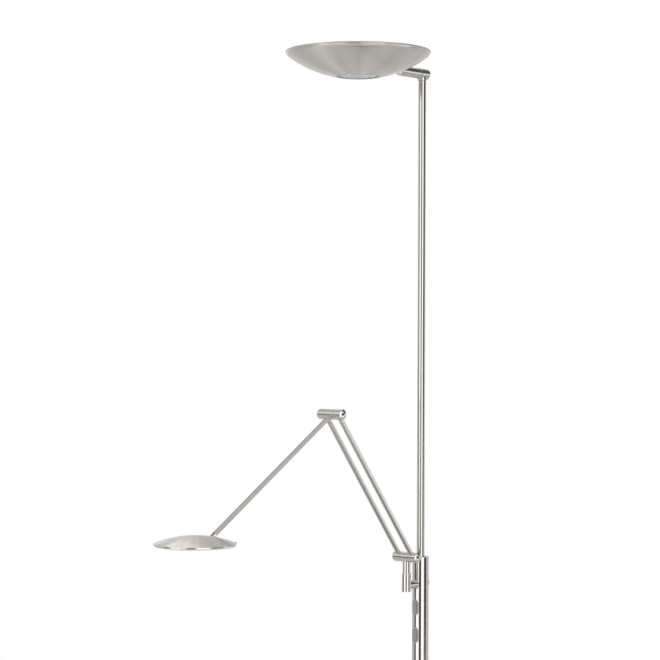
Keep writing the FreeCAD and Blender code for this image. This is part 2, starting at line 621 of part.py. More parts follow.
def mast_top_spigot():
    pintle_top = CROSSBAR_Z - AXLE_DIA / 2 - SPIGOT_TOP_ROOM - FACE_GAP
    plug_radius = UPPER_BORE_RADIUS - FIT
    flange_top = SPIGOT_PLUG_LENGTH + SPIGOT_FLANGE
    top = pintle_top - UPPER_TUBE_END_Z + SPIGOT_PLUG_LENGTH
    return turned(UP * (UPPER_TUBE_END_Z - SPIGOT_PLUG_LENGTH), UP, [
        (0, 0), (0, plug_radius), (SPIGOT_PLUG_LENGTH, plug_radius), (SPIGOT_PLUG_LENGTH, UPPER_RADIUS),
        (flange_top, UPPER_RADIUS), (flange_top, SPIGOT_DIA / 2), (top, SPIGOT_DIA / 2), (top, 0)])


# ---- Switches ------------------------------------------------------------

def switch_bezel(z):
    plate = upright_slot(z, BEZEL_LENGTH, BEZEL_WIDTH, BEZEL_FRONT_Y, 0)
    plate = plate.cut(cylinder(UP * (z - BEZEL_LENGTH), UP, LOWER_RADIUS, 2 * BEZEL_LENGTH))
    neck = switch_neck(z, 0, BEZEL_FRONT_Y, BEZEL_NECK_END_Y)
    opening = upright_slot(z, BUTTON_LENGTH, BUTTON_WIDTH, BEZEL_FRONT_Y, BEZEL_NECK_END_Y)
    return plate.fuse(neck).cut(opening).removeSplitter()


def switch_bezels():
    return [switch_bezel(z) for z in switch_heights()]


def switch_body(z):
    width, depth, height = SWITCH_BODY_SIZE
    return block((-width / 2, width / 2), (BEZEL_NECK_END_Y, BEZEL_NECK_END_Y + depth),
                 (z - height / 2, z + height / 2))


def switch_bodies():
    return [switch_body(z) for z in switch_heights()]


def switch_button(z):
    back_y = BEZEL_NECK_END_Y - BUTTON_TRAVEL - FACE_GAP
    button = upright_slot(z, BUTTON_LENGTH - 2 * FACE_GAP, BUTTON_WIDTH - 2 * FACE_GAP,
                          BEZEL_FRONT_Y - BUTTON_PROUD, back_y)
    front_edges = [e for e in button.Edges if e.BoundBox.YMax < BEZEL_FRONT_Y]
    return button.makeFillet(BUTTON_PROUD / 2, front_edges)


# ---- Bracket of the reading arm ------------------------------------------

def swivel_bracket():
    sleeve_start = V(0, -POST_REACH, SLEEVE_BOTTOM_Z)
    stub = cylinder(V(0, -POST_REACH, BRACKET_Z), BACK, STUB_DIA / 2, POST_REACH)
    stub = stub.cut(cylinder(UP * (BRACKET_Z - STUB_DIA), UP, LOWER_RADIUS + FIT, 2 * STUB_DIA))
    bracket = stub.fuse(cylinder(sleeve_start, UP, SLEEVE_DIA / 2, SLEEVE_LENGTH))
    bracket = bracket.cut(cylinder(sleeve_start, UP, PINTLE_DIA / 2 + RUN_FIT, SLEEVE_LENGTH))
    bracket = bracket.cut(cylinder(sleeve_start, UP, SLEEVE_RECESS_DIA / 2, SLEEVE_RECESS_DEPTH))
    bolt_start = V(0, -LOWER_RADIUS - BRACKET_BOLT_GRIP, BRACKET_Z)
    bracket = bracket.cut(cylinder(bolt_start, BACK, BRACKET_BOLT_DIA / 2 + SCREW_FIT, POST_REACH))
    return bracket.removeSplitter()


def bracket_bolt():
    shaft_start = V(0, -LOWER_RADIUS - BRACKET_BOLT_GRIP, BRACKET_Z)
    shaft = cylinder(shaft_start, BACK, BRACKET_BOLT_DIA / 2, BRACKET_BOLT_GRIP + LOWER_TUBE_DIA)
    seat = LOWER_RADIUS - BRACKET_BOLT_HEAD_EDGE
    head = domed_head(V(0, seat, BRACKET_Z), BACK, BRACKET_BOLT_HEAD_DIA / 2, 2 * BRACKET_BOLT_HEAD_EDGE,
                      BRACKET_BOLT_HEAD_PROUD + BRACKET_BOLT_HEAD_EDGE)
    tube_space_start = UP * (BRACKET_Z - BRACKET_BOLT_HEAD_DIA)
    head = head.cut(cylinder(tube_space_start, UP, LOWER_RADIUS, 2 * BRACKET_BOLT_HEAD_DIA))
    return head.fuse(shaft).removeSplitter()


def swivel_bush():
    start = V(0, -POST_REACH, SLEEVE_TOP_Z)
    return pipe(start, UP, SLEEVE_DIA / 2, PINTLE_DIA / 2 + FACE_GAP, BUSH_THICKNESS)


# ---- Post of the reading arm ---------------------------------------------

def retainer_screw_hole():
    start = V(0, -POST_REACH, PINTLE_END_Z - RETAINER_THICKNESS)
    return cylinder(start, UP, RETAINER_SCREW_DIA / 2 + SCREW_FIT, RETAINER_SCREW_LENGTH)


def shoulder_post():
    collar_z = BUSH_TOP_Z + FACE_GAP
    axis = V(0, -POST_REACH, 0)
    post = cylinder(axis + UP * collar_z, UP, POST_DIA / 2, SHOULDER_Z - collar_z)
    post = post.fuse(cylinder(axis + UP * PINTLE_END_Z, UP, PINTLE_DIA / 2, collar_z - PINTLE_END_Z))
    barrel = cylinder(SHOULDER - RIGHT * BARREL_DIA, RIGHT, BARREL_RADIUS + FIT, 2 * BARREL_DIA)
    return post.cut(barrel).cut(retainer_screw_hole()).removeSplitter()


def post_retainer():
    disc_radius = SLEEVE_RECESS_DIA / 2 - RETAINER_EDGE_GAP
    axis = V(0, -POST_REACH, 0)
    disc_z = PINTLE_END_Z - RETAINER_THICKNESS
    disc = cylinder(axis + UP * disc_z, UP, disc_radius, RETAINER_THICKNESS)
    shaft = cylinder(axis + UP * disc_z, UP, RETAINER_SCREW_DIA / 2, RETAINER_SCREW_LENGTH)
    head = domed_head(axis + UP * disc_z, UP * -1, RETAINER_HEAD_DIA / 2, RETAINER_HEAD_EDGE,
                      RETAINER_HEAD_HEIGHT)
    return disc.fuse(shaft).fuse(head).removeSplitter()


# ---- Hinge barrels, built round the origin along X ------------------------

def barrel_centre(axle_room):
    bore = BARREL_AXLE_RADIUS + axle_room
    centre = pipe(V(-CENTRE_HALF, 0, 0), RIGHT, BARREL_RADIUS, bore, BARREL_CENTRE_WIDTH)
    for x in (-CENTRE_HALF, CENTRE_HALF - WASHER_THICKNESS):
        centre = centre.cut(cylinder(V(x, 0, 0), RIGHT, WASHER_DIA / 2 + FIT, WASHER_THICKNESS))
    return centre


def barrel_washers():
    starts = (-CENTRE_HALF, CENTRE_HALF - WASHER_THICKNESS)
    bore = BARREL_AXLE_RADIUS + FACE_GAP
    return [pipe(V(x, 0, 0), RIGHT, WASHER_DIA / 2, bore, WASHER_THICKNESS) for x in starts]


def barrel_left():
    end = BARREL_LEFT_LENGTH
    corner = (end - BARREL_LEFT_ROUND, BARREL_RADIUS - BARREL_LEFT_ROUND)
    bore = BARREL_AXLE_RADIUS + RUN_FIT
    bore_end = BARREL_RIGHT_LENGTH + FACE_GAP
    return turned(ORIGIN, RIGHT * -1, [
        (SIDE_START, bore), (SIDE_START, BARREL_RADIUS), (corner[0], BARREL_RADIUS),
        (corner_middle(corner, BARREL_LEFT_ROUND), (end, corner[1])),
        (end, 0), (bore_end, 0), (bore_end, bore)])


def barrel_right():
    end = BARREL_RIGHT_LENGTH
    bore = BARREL_AXLE_RADIUS + RUN_FIT
    spigot_bore = CAP_SPIGOT_DIA / 2 + FIT
    spigot_start = end - CAP_SPIGOT_LENGTH
    return turned(ORIGIN, RIGHT, [
        (SIDE_START, bore), (SIDE_START, BARREL_RADIUS), (end, BARREL_RADIUS), (end, spigot_bore),
        (spigot_start, spigot_bore), (spigot_start, bore)])


def barrel_cap():
    spigot_radius = CAP_SPIGOT_DIA / 2
    groove_radius = CAP_GROOVE_DIA / 2
    groove_end = CAP_SPIGOT_LENGTH + CAP_GROOVE_WIDTH
    dome_start = groove_end + CAP_EDGE
    return turned(RIGHT * (BARREL_RIGHT_LENGTH - CAP_SPIGOT_LENGTH), RIGHT, [
        (0, 0), (0, spigot_radius), (CAP_SPIGOT_LENGTH, spigot_radius),
        (CAP_SPIGOT_LENGTH, groove_radius), (groove_end, groove_radius), (groove_end, BARREL_RADIUS),
        (dome_start, BARREL_RADIUS), dome_arc(dome_start, BARREL_RADIUS, CAP_DOME_HEIGHT)])


def barrel_axle():
    left_end = BARREL_RIGHT_LENGTH
    right_end = BARREL_RIGHT_LENGTH - BARREL_AXLE_END_ROOM
    return cylinder(V(-left_end, 0, 0), RIGHT, BARREL_AXLE_RADIUS, left_end + right_end)


# ---- Reading arm ---------------------------------------------------------

def arm_rod(side, start_room, end_room, radius):
    """Rod between the two hinge barrels, on the left (-1) or the right (1)."""
    start = SHOULDER + RIGHT * (side * ROD_SPACING / 2) + UPPER_ARM_DIRECTION * start_room
    return cylinder(start, UPPER_ARM_DIRECTION, radius, UPPER_ARM_LENGTH - start_room - end_room)


def rod(side):
    outer = arm_rod(side, SOCKET_START, SOCKET_START, ROD_RADIUS)
    return outer.cut(arm_rod(side, 0, 0, ROD_RADIUS - ROD_WALL))


def side_sleeve(shape, place, side):
    return moved(shape, place).cut(arm_rod(side, SOCKET_START, SOCKET_START, ROD_RADIUS + FIT))


def forearm_bar(start_room, radius, length):
    return cylinder(ELBOW + FOREARM_DIRECTION * start_room, FOREARM_DIRECTION, radius, length)


def forearm_tube():
    length = FOREARM_LENGTH - SOCKET_START - HEAD_TIP_LENGTH
    return forearm_bar(SOCKET_START, FOREARM_RADIUS, length).cut(
        forearm_bar(SOCKET_START, FOREARM_RADIUS - FOREARM_WALL, length))


def forearm_tip():
    eye = cylinder(TILT - RIGHT * (HEAD_TIP_WIDTH / 2), RIGHT, HEAD_TIP_RADIUS, HEAD_TIP_WIDTH)
    neck = Part.makeBox(HEAD_TIP_WIDTH, 2 * HEAD_TIP_RADIUS, HEAD_TIP_LENGTH,
                        V(-HEAD_TIP_WIDTH / 2, -HEAD_TIP_RADIUS, 0))
    neck.Placement = FreeCAD.Placement(TILT, FreeCAD.Rotation(RIGHT, FOREARM_DROP - 90))
    start = FOREARM_LENGTH - HEAD_TIP_LENGTH
    shape = eye.fuse(neck).common(forearm_bar(start - HEAD_TIP_LENGTH, FOREARM_RADIUS, 4 * HEAD_TIP_LENGTH))
    spigot = forearm_bar(start - HEAD_TIP_SPIGOT, FOREARM_RADIUS - FOREARM_WALL - FIT, HEAD_TIP_SPIGOT)
    pin_hole = cylinder(TILT - RIGHT * HEAD_TIP_WIDTH, RIGHT, HEAD_PIN_DIA / 2 + RUN_FIT, 2 * HEAD_TIP_WIDTH)
    return shape.fuse(spigot).cut(pin_hole).removeSplitter()


# ---- Reading head --------------------------------------------------------

def head_sphere_z(radius_from_axis, inset):
    return HEAD_SPHERE.z + sphere_depth(HEAD_SPHERE_RADIUS - inset, radius_from_axis)


def head_slot():
    """Slot for the forearm, from just in front of the tilt axis to behind it."""
    half = HEAD_SLOT_WIDTH / 2
    bottom = HEAD_RIM_Z
    height = HEAD_DOME_HEIGHT
    back = TILT.y + HEAD_SLOT_BACK - half
    slot = block((-half, half), (TILT.y, back), (bottom, bottom + height))
    slot = slot.fuse(cylinder(V(0, TILT.y, bottom), UP, half, height))
    return slot.fuse(cylinder(V(0, back, bottom), UP, half, height))


def rim_screw_places():
    """Direction of each rim screw, seen from the centre of the head."""
    first = math.radians(RIM_SCREW_FIRST_ANGLE)
    angles = [first + 2 * math.pi * k / RIM_SCREW_COUNT for k in range(RIM_SCREW_COUNT)]
    return [V(math.sin(a), -math.cos(a), 0) for a in angles]


def rim_screw_holes():
    centre = V(0, HEAD_CENTRE_Y, RIM_SCREW_Z)
    start = HEAD_RADIUS - RIM_SCREW_REACH
    return [cylinder(centre + d * start, d, RIM_SCREW_DIA / 2 + SCREW_FIT, 2 * RIM_SCREW_REACH)
            for d in rim_screw_places()]


def head_rim_screws():
    centre = V(0, HEAD_CENTRE_Y, RIM_SCREW_Z)
    screws = []
    for direction in rim_screw_places():
        shaft = cylinder(centre + direction * (HEAD_RADIUS - RIM_SCREW_REACH), direction, RIM_SCREW_DIA / 2,
                         RIM_SCREW_REACH)
        head = domed_head(centre + direction * HEAD_RADIUS, direction, RIM_SCREW_HEAD_DIA / 2,
                          RIM_SCREW_HEAD_EDGE, RIM_SCREW_HEAD_PROUD)
        screws.append(shaft.fuse(head))
    return screws


def head_dome():
    axis = V(0, HEAD_CENTRE_Y, 0)
    inner_radius = HEAD_RADIUS - HEAD_WALL
    half_radius = HEAD_RADIUS / 2
    dome = turned(axis, UP, [
        (head_sphere_z(0, HEAD_WALL), 0),
        ((head_sphere_z(half_radius, HEAD_WALL), half_radius),
         (head_sphere_z(inner_radius, HEAD_WALL), inner_radius)),
        (HEAD_LIP_Z, inner_radius), (HEAD_LIP_Z, HEAD_RADIUS), (HEAD_RIM_Z, HEAD_RADIUS),
        ((head_sphere_z(half_radius, 0), half_radius), (head_sphere_z(0, 0), 0))])
    dome = dome.cut(head_slot())
    for hole in rim_screw_holes():
        dome = dome.cut(hole)
    return dome


def head_tray():
    inner_sphere = HEAD_SPHERE_RADIUS - HEAD_WALL
    radius = math.sqrt(inner_sphere ** 2 - (HEAD_RIM_Z - HEAD_SPHERE.z) ** 2) - FIT
    return cylinder(V(0, HEAD_CENTRE_Y, HEAD_TRAY_Z), UP, radius, HEAD_TRAY_THICKNESS)


def head_led_board():
    start = V(0, HEAD_CENTRE_Y, HEAD_TRAY_Z - HEAD_BOARD_THICKNESS)
    return cylinder(start, UP, HEAD_BOARD_DIA / 2, HEAD_BOARD_THICKNESS)


def head_diffuser():
    bottom = HEAD_LIP_Z - HEAD_DIFFUSER_BELOW_LIP
    radius = HEAD_DIFFUSER_RADIUS
    inner = radius - HEAD_DIFFUSER_WALL
    floor = bottom + HEAD_DIFFUSER_WALL
    edge = HEAD_DIFFUSER_WALL / 2
    diffuser = turned(V(0, HEAD_CENTRE_Y, 0), UP, [
        (bottom, 0), (bottom, radius - edge),
        (corner_middle((bottom + edge, radius - edge), edge, -1), (bottom + edge, radius)),
        (HEAD_TRAY_Z, radius), (HEAD_TRAY_Z, inner), (floor, inner), (floor, 0)])
    for hole in rim_screw_holes():
        diffuser = diffuser.cut(hole)
    return diffuser


def head_bracket():
    """Two ears for the tilt pin and the web that joins them in front of it."""
    inner = HEAD_TIP_WIDTH / 2 + FACE_GAP
    outer = inner + HEAD_EAR_THICKNESS
    top = TILT.z + HEAD_PIN_DIA / 2 + HEAD_EAR_MARGIN
    front = TILT.y - HEAD_WEB_AHEAD - HEAD_WEB_THICKNESS
    bracket = block((-outer, outer), (front, TILT.y + HEAD_EAR_BACK), (HEAD_RIM_Z, top))
    between = (TILT.y - HEAD_WEB_AHEAD, TILT.y + HEAD_SLOT_BACK)
    bracket = bracket.cut(block((-inner, inner), between, (HEAD_RIM_Z, top)))
    return bracket.cut(cylinder(TILT - RIGHT * outer, RIGHT, HEAD_PIN_DIA / 2 + FIT, 2 * outer))


def head_pin():
    half = HEAD_TIP_WIDTH / 2 + FACE_GAP + HEAD_EAR_THICKNESS
    return cylinder(TILT - RIGHT * half, RIGHT, HEAD_PIN_DIA / 2, 2 * half)


# ---- Crossbar ------------------------------------------------------------

def yoke_barrel():
    radius = YOKE_DIA / 2
    corner = (YOKE_BACK - YOKE_BACK_ROUND, radius - YOKE_BACK_ROUND)
    barrel = turned(CROSSBAR, BACK, [
        (-YOKE_FRONT, 0), (-YOKE_FRONT, radius), (corner[0], radius),
        (corner_middle(corner, YOKE_BACK_ROUND), (YOKE_BACK, corner[1])), (YOKE_BACK, 0)])
    neck = cylinder(UP * NECK_BOTTOM_Z, UP, YOKE_NECK_DIA / 2, YOKE_NECK_DROP)
    yoke = barrel.fuse(neck)
    yoke = yoke.cut(cylinder(CROSSBAR - BACK * YOKE_FRONT, BACK, AXLE_DIA / 2 + FIT, YOKE_FRONT + AXLE_BACK))
    spigot_hole = CROSSBAR_Z - AXLE_DIA / 2 - SPIGOT_TOP_ROOM - NECK_BOTTOM_Z
    yoke = yoke.cut(cylinder(UP * NECK_BOTTOM_Z, UP, SPIGOT_DIA / 2 + RUN_FIT, spigot_hole))
    return yoke.removeSplitter()


def yoke_axle():
    return pipe(CROSSBAR + BACK * AXLE_BACK, FRONT, AXLE_DIA / 2, AXLE_BORE_DIA / 2, AXLE_BACK + AXLE_FRONT)


def axle_nut():
    start = CROSSBAR + FRONT * (BOWL_CAP_BORE_START + FACE_GAP)
    nut = hexagon(start, FRONT, AXLE_NUT_ACROSS_FLATS, AXLE_NUT_THICKNESS)
    return nut.cut(cylinder(start, FRONT, AXLE_DIA / 2 + FIT, AXLE_NUT_THICKNESS))


def bowl_barrel():
    bore = AXLE_DIA / 2 + RUN_FIT
    cap_bore = BOWL_CAP_BORE_DIA / 2
    barrel = turned(CROSSBAR, FRONT, [
        (BOWL_BARREL_BACK, bore), (BOWL_BARREL_BACK, BOWL_BARREL_RADIUS),
        (BOWL_BARREL_FRONT, BOWL_BARREL_RADIUS),
        (BOWL_BARREL_FRONT, cap_bore), (BOWL_CAP_BORE_START, cap_bore), (BOWL_CAP_BORE_START, bore)])
    return barrel.cut(filled_bowl(FIT))


def bowl_barrel_cap():
    spigot_radius = BOWL_CAP_BORE_DIA / 2 - FIT
    groove_radius = BOWL_BARREL_RADIUS - BOWL_CAP_GROOVE_DEPTH
    groove_end = BOWL_CAP_SPIGOT_LENGTH + BOWL_CAP_GROOVE_WIDTH
    dome_start = groove_end + BOWL_CAP_EDGE
    cap = turned(CROSSBAR + FRONT * (BOWL_BARREL_FRONT - BOWL_CAP_SPIGOT_LENGTH), FRONT, [
        (0, 0), (0, spigot_radius), (BOWL_CAP_SPIGOT_LENGTH, spigot_radius),
        (BOWL_CAP_SPIGOT_LENGTH, groove_radius), (groove_end, groove_radius),
        (groove_end, BOWL_BARREL_RADIUS), (dome_start, BOWL_BARREL_RADIUS),
        dome_arc(dome_start, BOWL_BARREL_RADIUS, BOWL_CAP_DOME_HEIGHT)])
    return cap.cut(filled_bowl(FIT))


# ---- Bowl ----------------------------------------------------------------

def bowl_sphere_z(radius_from_axis, inset=0.0):
    return BOWL_SPHERE.z - sphere_depth(BOWL_SPHERE_RADIUS - inset, radius_from_axis)


def knuckle_point(slope, inset=0.0):
    """Profile point of the turn up to the rim, where the skin has this slope."""
    radius = BOWL_KNUCKLE_RADIUS - inset
    return (KNUCKLE_RING_Z - radius * math.cos(slope), KNUCKLE_RING_RADIUS + radius * math.sin(slope))


def knuckle_arc(from_slope, to_slope, inset=0.0):
    return (knuckle_point((from_slope + to_slope) / 2, inset), knuckle_point(to_slope, inset))


def filled_bowl(room):
    """The bowl's outer form as a full solid. Room widens it."""
    turn = knuckle_point(KNUCKLE_SLOPE, -room)
    half_way = turn[1] / 2
    return turned(FRONT * BOWL_REACH, UP, [
        (bowl_sphere_z(0, -room), 0), ((bowl_sphere_z(half_way, -room), half_way), turn),
        knuckle_arc(KNUCKLE_SLOPE, RIM_SLOPE, -room), (BOWL_RIM_Z, BEAD_RING_RADIUS), (BOWL_RIM_Z, 0)])


def saddle_screw_directions():
    """Direction of each screw, from the centre of the bowl's sphere down through the shell."""
    step = SADDLE_SCREW_SPACING
    first = -step * (SADDLE_SCREW_COUNT - 1) / 2
    ahead = BOWL_REACH - SADDLE_SCREW_AT
    directions = []
    for x in [first + step * k for k in range(SADDLE_SCREW_COUNT)]:
        point = V(x, -SADDLE_SCREW_AT, bowl_sphere_z(math.hypot(x, ahead)))
        directions.append((point - BOWL_SPHERE).normalize())
    return directions


def saddle_screw_seat():
    """Distance from the centre of the sphere at which the rim of a flat head meets the shell."""
    return sphere_depth(BOWL_INNER_SPHERE_RADIUS - FIT, SADDLE_SCREW_HEAD_DIA / 2)


def saddle_screw_shaft(direction, room):
    seat = saddle_screw_seat()
    length = BOWL_SPHERE_RADIUS + SADDLE_SCREW_DEPTH - seat
    return cylinder(BOWL_SPHERE + direction * seat, direction, SADDLE_SCREW_DIA / 2 + room, length)


def saddle_screw_holes():
    return [saddle_screw_shaft(direction, SCREW_FIT) for direction in saddle_screw_directions()]


def saddle_screws():
    screws = []
    for direction in saddle_screw_directions():
        head = domed_head(BOWL_SPHERE + direction * saddle_screw_seat(), direction * -1,
                          SADDLE_SCREW_HEAD_DIA / 2, SADDLE_SCREW_HEAD_EDGE, SADDLE_SCREW_HEAD_HEIGHT)
        screws.append(saddle_screw_shaft(direction, 0).fuse(head))
    return screws


def bowl_bead(room):
    """Rolled bead round the rim, centred on the skin. Room widens it."""
    centre = FRONT * BOWL_REACH + UP * BEAD_RING_Z
    return Part.makeTorus(BEAD_RING_RADIUS, BEAD_RADIUS + room, centre, UP)


def bowl_shell():
    """Dished skin with a rolled bead round its rim and a light hole in its middle."""
    hole = BOWL_HOLE_DIA / 2
    half_way = (hole + KNUCKLE_RING_RADIUS) / 2
    skin = turned(FRONT * BOWL_REACH, UP, [
        (bowl_sphere_z(hole), hole), ((bowl_sphere_z(half_way), half_way), knuckle_point(KNUCKLE_SLOPE)),
        knuckle_arc(KNUCKLE_SLOPE, RIM_SLOPE), knuckle_point(RIM_SLOPE, BOWL_WALL),
        knuckle_arc(RIM_SLOPE, KNUCKLE_SLOPE, BOWL_WALL),
        ((bowl_sphere_z(half_way, BOWL_WALL), half_way), (bowl_sphere_z(hole, BOWL_WALL), hole))])
    shell = skin.fuse(bowl_bead(0))
    for screw_hole in saddle_screw_holes():
        shell = shell.cut(screw_hole)
    return shell.removeSplitter()


def bowl_saddle():
    half = SADDLE_WIDTH / 2
    saddle = block((-half, half), (-BOWL_BARREL_FRONT, -SADDLE_BACK),
                   (CROSSBAR_Z + SADDLE_ABOVE_AXIS, BOWL_RIM_Z))
    saddle = saddle.cut(cylinder(CROSSBAR, FRONT, BOWL_BARREL_RADIUS + FIT, BOWL_REACH))
    saddle = saddle.cut(filled_bowl(FIT)).cut(bowl_bead(FIT))
    for hole in saddle_screw_holes():
        saddle = saddle.cut(hole)
    return saddle


def bowl_glass_ring():
    """Ring in the light hole, flush with the bowl outside and held by a flange on its inside."""
    bottom = UP * GLASS_RING_BOTTOM_Z + FRONT * BOWL_REACH
    flange_radius = GLASS_RING_FLANGE_DIA / 2
    top_z = bowl_sphere_z(flange_radius, BOWL_WALL) + GLASS_RING_FLANGE_EDGE
    height = top_z - GLASS_RING_BOTTOM_Z
    body = pipe(bottom, UP, GLASS_RING_RADIUS, GLASS_SEAT_RADIUS - GLASS_RING_LIP, height)
    body = body.cut(cylinder(bottom + UP * GLASS_SEAT_HEIGHT, UP, GLASS_SEAT_RADIUS, height))
    flange = pipe(bottom, UP, flange_radius, GLASS_SEAT_RADIUS, height)
    flange = flange.common(Part.makeSphere(BOWL_INNER_SPHERE_RADIUS - FIT, BOWL_SPHERE))
    return body.fuse(flange).removeSplitter()


def bowl_glass():
    start = UP * (GLASS_RING_BOTTOM_Z + GLASS_SEAT_HEIGHT) + FRONT * BOWL_REACH
    return cylinder(start, UP, GLASS_SEAT_RADIUS - GLASS_EDGE_ROOM, GLASS_THICKNESS)


def uplight_standoffs():
    shell_inside = Part.makeSphere(BOWL_INNER_SPHERE_RADIUS - FIT, BOWL_SPHERE)
    pegs = []
    for place in round_pattern(STANDOFF_COUNT, STANDOFF_CIRCLE_DIA / 2, STANDOFF_FIRST_ANGLE):
        start = place + FRONT * BOWL_REACH + UP * BOWL_BOTTOM_Z
        peg = cylinder(start, UP, STANDOFF_DIA / 2, HEAT_SINK_Z - BOWL_BOTTOM_Z)
        pegs.append(peg.common(shell_inside))
    return pegs


def uplight_heat_sink():
    return cylinder(V(0, -BOWL_REACH, HEAT_SINK_Z), UP, HEAT_SINK_DIA / 2, HEAT_SINK_THICKNESS)


def uplight_led_board():
    return cylinder(V(0, -BOWL_REACH, HEAT_SINK_TOP_Z), UP, UPLIGHT_BOARD_DIA / 2, UPLIGHT_BOARD_THICKNESS)


def uplight_diffuser():
    radius = UPLIGHT_DIFFUSER_DIA / 2
    inner = radius - UPLIGHT_DIFFUSER_WALL
    top = UPLIGHT_DIFFUSER_HEIGHT
    edge = UPLIGHT_DIFFUSER_EDGE_RADIUS
    return turned(V(0, -BOWL_REACH, HEAT_SINK_TOP_Z), UP, [
        (0, inner), (0, radius), (top - edge, radius),
        (corner_middle((top - edge, radius - edge), edge), (top, radius - edge)), (top, 0),
        (top - UPLIGHT_DIFFUSER_WALL, 0), (top - UPLIGHT_DIFFUSER_WALL, inner)])


# ---- All the pieces --------------------------------------------------------

def pieces():
    """Each piece by name. A list of solids is a group of like pieces in one node."""
    return {
        "base_pad": base_pad(),
        "base_weight": base_weight(),
        "base_cover": base_cover(),
        "base_screws": base_screws(),
        "led_driver": led_driver(),
        "cable_gland": cable_gland(),
        "tie_nipple": tie_nipple(),
        "tie_nut": tie_nut(),
        "foot_plug": foot_plug(),
        "foot_collar": foot_collar(),
        "lower_mast_tube": lower_mast_tube(),
        "mast_reducer": mast_reducer(),
        "mast_grub_screws": mast_grub_screws(),
        "upper_mast_tube": upper_mast_tube(),
        "mast_top_spigot": mast_top_spigot(),
        "switch_bezels": switch_bezels(),
        "switch_bodies": switch_bodies(),
        "uplight_button": switch_button(UPLIGHT_SWITCH_Z),
        "reading_button": switch_button(READING_SWITCH_Z),
        "swivel_bracket": swivel_bracket(),
        "bracket_bolt": bracket_bolt(),
        "swivel_bush": swivel_bush(),
        "shoulder_post": shoulder_post(),
        "post_retainer": post_retainer(),
        "shoulder_centre": moved(barrel_centre(FIT), SHOULDER),
        "shoulder_axle": moved(barrel_axle(), SHOULDER),
        "shoulder_washers": [moved(w, SHOULDER) for w in barrel_washers()],
        "shoulder_left": side_sleeve(barrel_left(), SHOULDER, -1),
        "shoulder_right": side_sleeve(barrel_right(), SHOULDER, 1),
        "hinge_caps": [moved(barrel_cap(), SHOULDER), moved(barrel_cap(), ELBOW)],
        "rod_left": rod(-1),
        "rod_right": rod(1),
        "elbow_left": side_sleeve(barrel_left(), ELBOW, -1),
        "elbow_right": side_sleeve(barrel_right(), ELBOW, 1),
        "elbow_axle": moved(barrel_axle(), ELBOW),
        "elbow_centre": moved(barrel_centre(RUN_FIT), ELBOW).cut(
            forearm_bar(SOCKET_START, FOREARM_RADIUS + FIT, BARREL_DIA)),
        "elbow_washers": [moved(w, ELBOW) for w in barrel_washers()],
        "forearm_tube": forearm_tube(),
        "forearm_tip": forearm_tip(),
        "head_dome": head_dome(),
        "head_bracket": head_bracket(),
        "head_pin": head_pin(),
        "head_tray": head_tray(),
        "head_led_board": head_led_board(),
        "head_diffuser": head_diffuser(),
        "head_rim_screws": head_rim_screws(),
        "yoke_barrel": yoke_barrel(),
        "yoke_axle": yoke_axle(),
        "axle_nut": axle_nut(),
        "bowl_barrel": bowl_barrel(),
        "bowl_barrel_cap": bowl_barrel_cap(),
        "bowl_saddle": bowl_saddle(),
        "saddle_screws": saddle_screws(),
        "bowl_shell": bowl_shell(),
        "bowl_glass_ring": bowl_glass_ring(),
        "bowl_glass": bowl_glass(),
        "uplight_standoffs": uplight_standoffs(),
        "uplight_heat_sink": uplight_heat_sink(),
        "uplight_led_board": uplight_led_board(),
        "uplight_diffuser": uplight_diffuser(),
    }


os.makedirs("parts", exist_ok=True)
for name, shape in pieces().items():
    if isinstance(shape, list):
        shape = Part.makeCompound(shape)
    shape.exportStep(f"parts/{name}.step")
    print(f"{name}: {len(shape.Solids)} solid(s), valid {shape.isValid()}, {shape.Volume:.1f} mm3")
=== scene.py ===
import json
import math

import bmesh
import bpy
from mathutils import Matrix, Vector


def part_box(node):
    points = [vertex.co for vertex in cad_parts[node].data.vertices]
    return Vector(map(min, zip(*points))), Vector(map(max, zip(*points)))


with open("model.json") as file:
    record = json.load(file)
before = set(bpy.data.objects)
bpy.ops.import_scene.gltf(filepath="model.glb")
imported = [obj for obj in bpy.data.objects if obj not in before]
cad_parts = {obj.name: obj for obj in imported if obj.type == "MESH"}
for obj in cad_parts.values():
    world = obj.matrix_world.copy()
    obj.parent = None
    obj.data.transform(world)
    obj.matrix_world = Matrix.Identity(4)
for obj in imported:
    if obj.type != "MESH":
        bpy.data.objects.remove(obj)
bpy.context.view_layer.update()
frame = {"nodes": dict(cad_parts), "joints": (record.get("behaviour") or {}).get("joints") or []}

# Floor lamp with a shallow uplight bowl and a jointed reading arm, in metres.
# The bowl and the arm point along -Y and the hinge barrels of the arm lie along X.

NODES = frame["nodes"]
ALONG_X = Vector((1, 0, 0))
ALONG_Y = Vector((0, 1, 0))
ALONG_Z = Vector((0, 0, 1))

# Camera, with angles in degrees
IMAGE_SIZE = 660              # pixels, both ways
FOCAL_PIXELS = 1993.0
HORIZON_PIXEL = 328.9         # row of the horizon in the photograph
SENSOR_WIDTH = 36.0           # millimetres
CAMERA_AZIMUTH = 41.0         # from the front of the lamp
CAMERA_DISTANCE = 4.124       # camera to mast, along its line of sight
CAMERA_HEIGHT = 1.245
CAMERA_SIDESTEP = -0.1890     # its line of sight passes to the left of the mast
CAMERA_ROLL = 0.20

